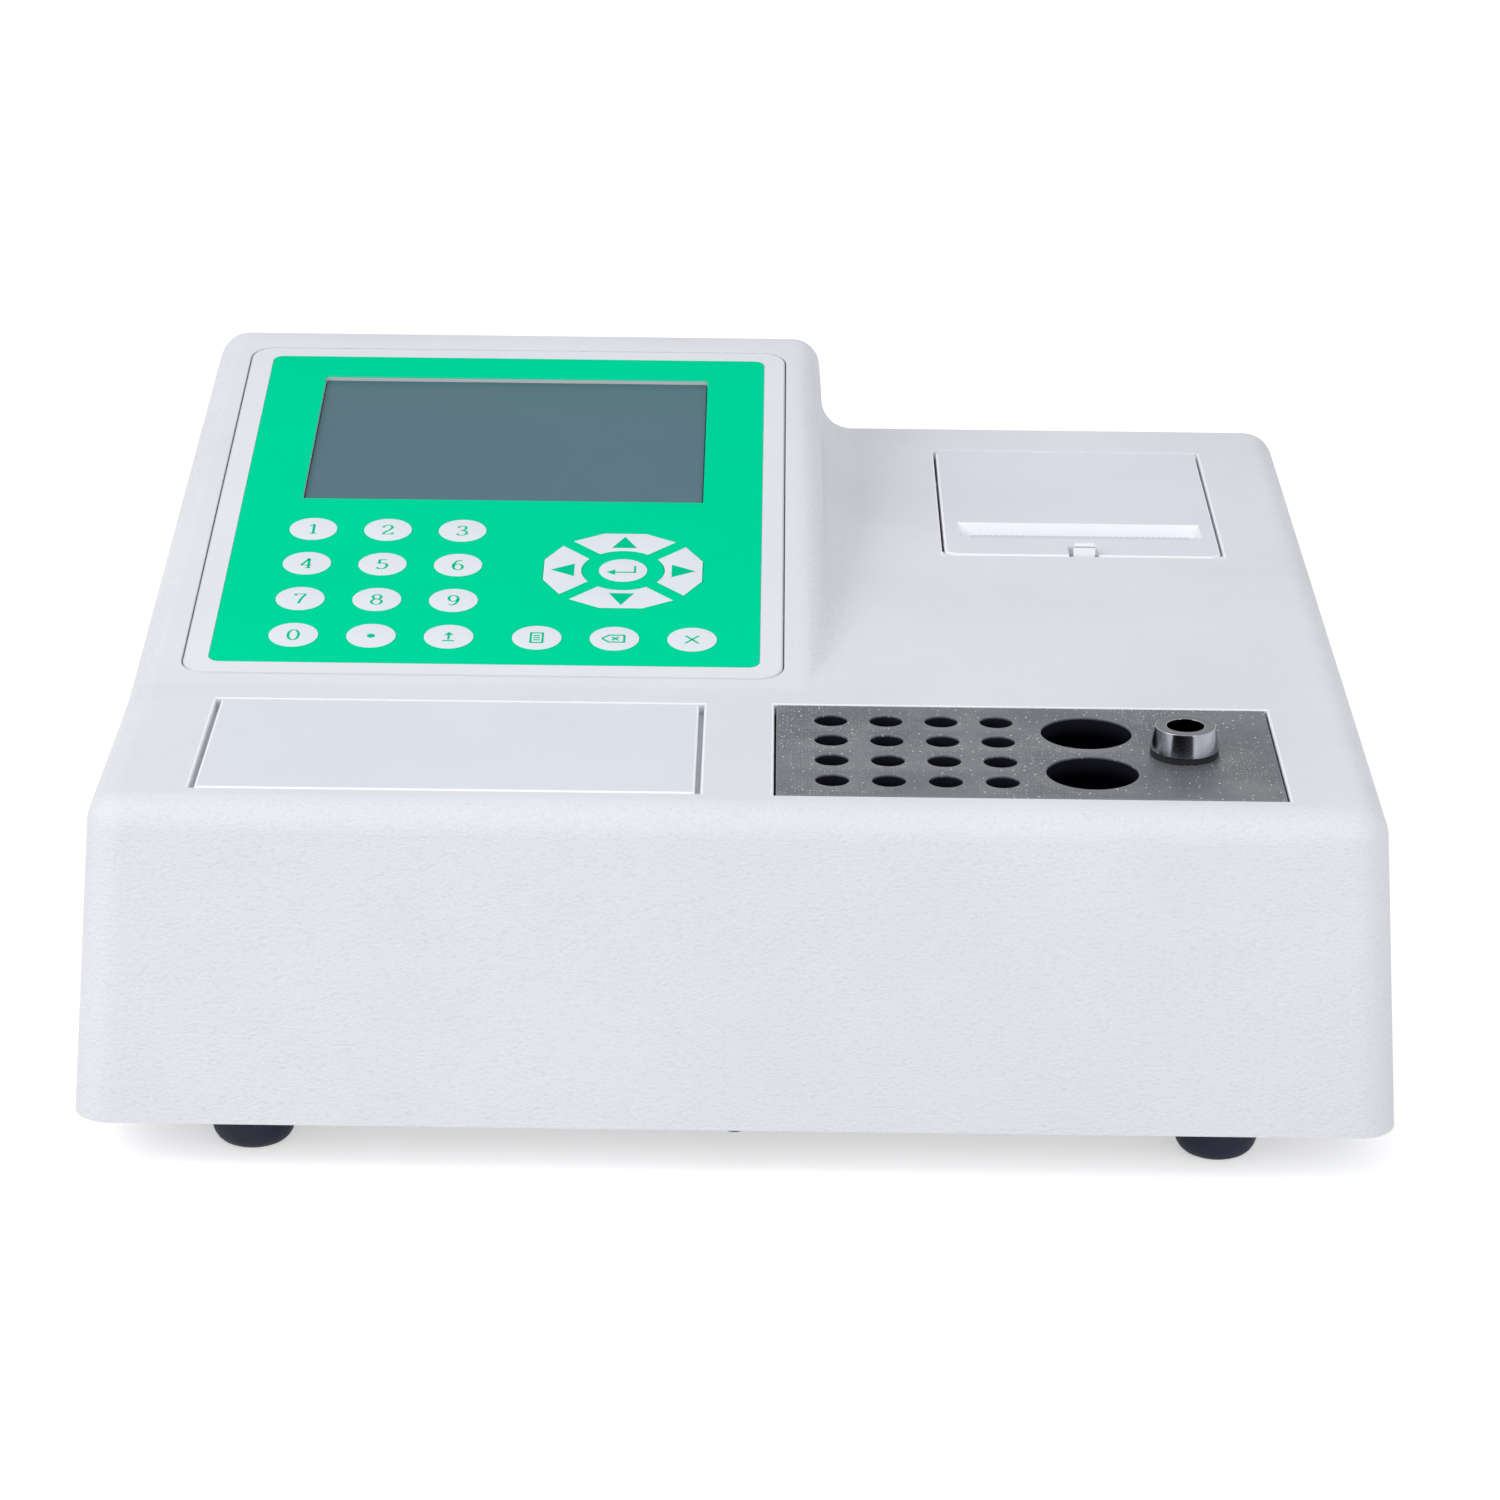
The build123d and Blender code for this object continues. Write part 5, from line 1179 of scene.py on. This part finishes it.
class RollPrinter(bpy.types.Operator):
    """Printer door, latch, frame, mechanism and paper roll."""

    bl_idname = "analyzer.roll_printer"
    bl_label = "Roll printer"

    def execute(self, context):
        dress(
            "printer_door", "latch_pin", "printer_frame", "door_hinge_pins", "platen_roller", "platen_gear",
            "motor_pinion", "printer_motor", "print_head", "print_chassis", "paper_roll",
        )
        dress("tear_bar", finish="tear_bar")
        dress("door_latch", finish="latch")
        return {"FINISHED"}


class InsideParts(bpy.types.Operator):
    """Main board on its posts and the power supply."""

    bl_idname = "analyzer.inside_parts"
    bl_label = "Inside parts"

    def execute(self, context):
        dress("board_standoffs", "power_supply")
        dress("main_board", finish="main_board")
        return {"FINISHED"}


# The serial port's insert, half widths below and above and half its height, and its contacts
INSERT_LOW, INSERT_HIGH, INSERT_HALF = 7.1 * MM, 6.1 * MM, 2.8 * MM
CONTACT_PITCH, CONTACT_ROW = 2.6 * MM, 1.42 * MM
CONTACT_RADIUS, CONTACT_BORE = 0.56 * MM, 0.36 * MM


class RearFittings(bpy.types.Operator):
    """Power inlet, switch and serial port, and the port's nine contacts."""

    bl_idname = "analyzer.rear_fittings"
    bl_label = "Rear fittings"

    def execute(self, context):
        dress("power_inlet", "switch_housing", "switch_rocker", "serial_port")
        # The port's dark insert lies on its plug, with nine contacts like small cups: four above five
        p = to_plane(node_points("serial_port"), REAR_WALL)
        face = p[:, 2].max()
        shell = p[p[:, 2] > face - 0.2 * MM, :2]
        centre = (shell.min(0) + shell.max(0)) / 2
        corners = ((-INSERT_LOW, -INSERT_HALF), (INSERT_LOW, -INSERT_HALF), (INSERT_HIGH, INSERT_HALF))
        outline = np.array([*corners, (-INSERT_HIGH, INSERT_HALF)]) + centre
        root, rim, floor = face - 0.3 * MM, face + 0.08 * MM, face - 0.1 * MM
        insert = from_plane(filled(outline, root, face + 0.03 * MM), REAR_WALL)
        place_piece(make_piece("port_insert", *stacked([insert])), "black_plastic", "casing")
        profile = [(CONTACT_RADIUS, root), (CONTACT_RADIUS, rim), (CONTACT_BORE, rim), (CONTACT_BORE, floor)]
        cups = []
        for count, height in ((4, CONTACT_ROW), (5, -CONTACT_ROW)):
            for k in range(count):
                place = (centre[0] + (k - (count - 1) / 2) * CONTACT_PITCH, centre[1] + height, 0.0)
                cups.append(from_plane(turned(profile, place, 16), REAR_WALL))
        place_piece(make_piece("port_contacts", *stacked(cups)), "brass_posts", "casing")
        return {"FINISHED"}


def cross_radius(angles, reach, half_width):
    """Outline of a plus sign in polar form: the nearer of the arm's end and the arm's side."""
    c, s = np.abs(np.cos(angles)), np.abs(np.sin(angles))
    return np.minimum(reach / np.maximum(c, s), half_width / np.maximum(np.minimum(c, s), 1e-9))


BASE_Z = 13.0 * MM
FOOT_RADIUS = 10.5 * MM
SCREW_RADIUS = 3.1 * MM
SCREW_HEAD = 2.6 * MM


def foot_profile(top):
    """A foot's outline: hollow sole, rounded shoulder, taper to the base, stem with its barb."""
    t = np.linspace(0, math.pi / 2, 7)
    bulge = np.stack([6.5 * MM + 4.0 * MM * np.sin(t), 5.2 * MM * (1 - np.cos(t))], axis=-1)
    stem, barb, barb_z = 3.0 * MM, 3.7 * MM, BASE_Z + 2.1 * MM
    return [
        (2.6 * MM, 1.2 * MM), (3.0 * MM, 0.0), *bulge.tolist(), (10.35 * MM, 8.5 * MM), (9.9 * MM, 12.6 * MM),
        (9.6 * MM, BASE_Z), (stem, BASE_Z), (stem, barb_z), (barb, barb_z), (stem, top),
    ]


def screw_levels(shank, steps=48):
    """Radii and heights of a pan head screw from its tip: shank, flattened dome, cross recess."""
    a = np.linspace(0, 2 * math.pi, steps, endpoint=False)
    dome = np.linspace(0, math.pi / 2, 6)[1:-1]
    radii = [1.5 * MM, 1.5 * MM, SCREW_RADIUS, SCREW_RADIUS, *(SCREW_RADIUS * (0.8 + 0.2 * np.cos(dome)))]
    heights = [-shank, 0.0, 0.0, 0.7 * SCREW_HEAD, *(SCREW_HEAD * (0.7 + 0.3 * np.sin(dome)))]
    radii = [np.full(steps, r) for r in radii]
    radii += [cross_radius(a, 1.5 * MM, 0.45 * MM), cross_radius(a, 0.9 * MM, 0.3 * MM)]
    return radii, heights + [SCREW_HEAD, SCREW_HEAD - 1.3 * MM]


class FeetAndScrews(bpy.types.Operator):
    """Rubber feet and the pan head screws of the base."""

    bl_idname = "analyzer.feet_and_screws"
    bl_label = "Feet and screws"

    def execute(self, context):
        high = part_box("rubber_feet")[1]
        x, y = high.x - FOOT_RADIUS, high.y - FOOT_RADIUS
        corners = [(-x, -y, 0.0), (-x, y, 0.0), (x, -y, 0.0), (x, y, 0.0)]
        feet = [turned(foot_profile(high.z), corner, sizes().round_steps) for corner in corners]
        place_piece(make_piece("feet", *stacked(feet)), "foot_rubber", "casing", "rubber_feet")

        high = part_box("base_screws")[1]
        x, y = high.x - SCREW_RADIUS, high.y - SCREW_RADIUS
        levels = screw_levels(high.z - BASE_Z)
        screws = [polar_stack(*levels, (*place, BASE_Z), (0, 0, -1)) for place in ((0, -y), (0, y), (-x, 0), (x, 0))]
        piece = make_piece("pan_head_screws", *stacked(screws))
        place_piece(piece, "steel", "casing", "base_screws", finish="screw_steel")
        return {"FINISHED"}


def seen_directly(tree):
    """1 for rays that come from the camera, off a shine or through glass, else 0."""
    ray = tree.nodes.new("ShaderNodeLightPath").outputs
    return math_node(
        tree, "MAXIMUM", ray["Is Camera Ray"],
        math_node(tree, "MAXIMUM", ray["Is Glossy Ray"], ray["Is Transmission Ray"]),
    )


def mixed(tree, factor, first, second):
    """Two shaders mixed."""
    mix = tree.nodes.new("ShaderNodeMixShader")
    for socket, value in zip(mix.inputs, (factor, first, second)):
        tree.links.new(value, socket)
    return mix.outputs[0]


def matte(name, colour):
    """A stage material without shine, and its shader."""
    material = bpy.data.materials.new(name)
    material.use_nodes = True
    shader = material.node_tree.nodes["Principled BSDF"]
    for label, value in (("Base Color", (*colour, 1)), ("Roughness", 0.9), ("Specular IOR Level", 0.0)):
        shader.inputs[label].default_value = value
    return material, shader


class StudioStage(bpy.types.Operator):
    """Pale floor, white surround, soft light and the camera."""

    bl_idname = "analyzer.studio_stage"
    bl_label = "Stage"

    def execute(self, context):
        scene = context.scene
        scene.view_settings.view_transform = "Standard"

        # Surround: plain white behind, softer as a light
        world = bpy.data.worlds.new("studio")
        world.use_nodes = True
        scene.world = world
        tree = world.node_tree
        back, white = tree.nodes["Background"], tree.nodes.new("ShaderNodeBackground")
        for shader, colour, strength in ((back, (0.945, 0.96, 1.0, 1), 0.7), (white, (1, 1, 1, 1), 1.0)):
            shader.inputs["Color"].default_value = colour
            shader.inputs["Strength"].default_value = strength
        surround = mixed(tree, seen_directly(tree), back.outputs[0], white.outputs[0])
        tree.links.new(surround, tree.nodes["World Output"].inputs["Surface"])

        # Floor: pale, a little brighter to the eye than as a light, and clear from below
        half = 6.0
        corners = [(-half, -half, 0), (half, -half, 0), (half, half, 0), (-half, half, 0)]
        floor = make_piece("floor", corners, [[0, 1, 2, 3]])
        material, shader = matte("pale_floor", (0.8, 0.8, 0.8))
        tree = material.node_tree
        glow = tree.nodes.new("ShaderNodeEmission")
        glow.inputs["Color"].default_value = (1, 1, 1, 1)
        tree.links.new(math_node(tree, "MULTIPLY", seen_directly(tree), 0.5), glow.inputs["Strength"])
        add = tree.nodes.new("ShaderNodeAddShader")
        tree.links.new(shader.outputs[0], add.inputs[0])
        tree.links.new(glow.outputs[0], add.inputs[1])
        clear = tree.nodes.new("ShaderNodeBsdfTransparent").outputs[0]
        below = tree.nodes.new("ShaderNodeNewGeometry").outputs["Backfacing"]
        surface = mixed(tree, below, add.outputs[0], clear)
        tree.links.new(surface, tree.nodes["Material Output"].inputs["Surface"])
        floor.data.materials.append(material)

        # Two soft lights: one above at the left, one in front
        for name, place, aim, power in (
            ("overhead_softbox", (-1.0, -0.55, 0.98), (-0.12, -0.08, 0.1), 7.6),
            ("front_softbox", (0.55, -1.5, 0.75), (0.0, -0.15, 0.07), 6.7),
        ):
            lamp = bpy.data.lights.new(name, "AREA")
            lamp.shape = "SQUARE"
            lamp.size = 0.9
            lamp.energy = power
            lamp.color = (1.0, 0.985, 0.965)
            lamp_object = bpy.data.objects.new(name, lamp)
            scene.collection.objects.link(lamp_object)
            lamp_object.location = place
            lamp_object.rotation_euler = (Vector(aim) - Vector(place)).to_track_quat("-Z", "Y").to_euler()

        # Dark card in front, seen only in shine
        x0, x1, y, z0, z1 = -0.29, 0.27, -0.45, 0.0, 0.45
        card = make_piece("dark_card", [(x0, y, z0), (x1, y, z0), (x1, y, z1), (x0, y, z1)], [[3, 2, 1, 0]])
        card.data.materials.append(matte("dark_card", (0.01, 0.01, 0.012))[0])
        card.visible_camera = card.visible_diffuse = card.visible_shadow = False

        # Camera: turned by yaw, tipped down by pitch, then rolled
        pitch, roll, yaw = (math.radians(v) for v in (20.793, 0.630, 0.218))
        data = bpy.data.cameras.new("camera")
        data.lens = 115.4
        data.sensor_width = 36.0
        data.clip_start, data.clip_end = 0.05, 50.0
        camera = bpy.data.objects.new("camera", data)
        scene.collection.objects.link(camera)
        place = Matrix.Translation((0.0070, -1.2440, 0.5225))
        tip = Matrix.Rotation(math.pi / 2 - pitch, 4, "X")
        camera.matrix_world = place @ Matrix.Rotation(yaw, 4, "Z") @ tip @ Matrix.Rotation(roll, 4, "Z")
        scene.camera = camera
        return {"FINISHED"}


# ---------------------------------------------------------------- panel and registration

OPERATORS = (
    CasingShell, ConsoleFace, KeyCaps, KeySigns, HeatedBlock, BlankCover, RollPrinter, InsideParts, RearFittings,
    FeetAndScrews, StudioStage,
)


class ANALYZER_PT_pieces(bpy.types.Panel):
    """Lists the analyzer's pieces with their sizes and colours."""

    bl_label = "Coagulation Analyzer"
    bl_space_type = "VIEW_3D"
    bl_region_type = "UI"
    bl_category = "Analyzer"

    def draw(self, context):
        layout = self.layout
        for group in (context.scene.analyzer_sizes, context.scene.analyzer_colours):
            box = layout.box()
            for name in group.__annotations__:
                box.prop(group, name)
        for operator in OPERATORS:
            layout.operator(operator.bl_idname)


CLASSES = (AnalyzerSizes, AnalyzerColours, *OPERATORS, ANALYZER_PT_pieces)


def register():
    for c in CLASSES:
        bpy.utils.register_class(c)
    bpy.types.Scene.analyzer_sizes = bpy.props.PointerProperty(type=AnalyzerSizes)
    bpy.types.Scene.analyzer_colours = bpy.props.PointerProperty(type=AnalyzerColours)


def unregister():
    del bpy.types.Scene.analyzer_colours
    del bpy.types.Scene.analyzer_sizes
    for c in reversed(CLASSES):
        bpy.utils.unregister_class(c)


def main():
    """Registers the add-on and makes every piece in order."""
    register()
    bpy.ops.analyzer.casing_shell()
    bpy.ops.analyzer.console_face()
    bpy.ops.analyzer.key_caps()
    bpy.ops.analyzer.key_signs()
    bpy.ops.analyzer.heated_block()
    bpy.ops.analyzer.blank_cover()
    bpy.ops.analyzer.roll_printer()
    bpy.ops.analyzer.inside_parts()
    bpy.ops.analyzer.rear_fittings()
    bpy.ops.analyzer.feet_and_screws()
    bpy.ops.analyzer.studio_stage()
    bpy.context.view_layer.update()


if __name__ == "__main__":
    main()
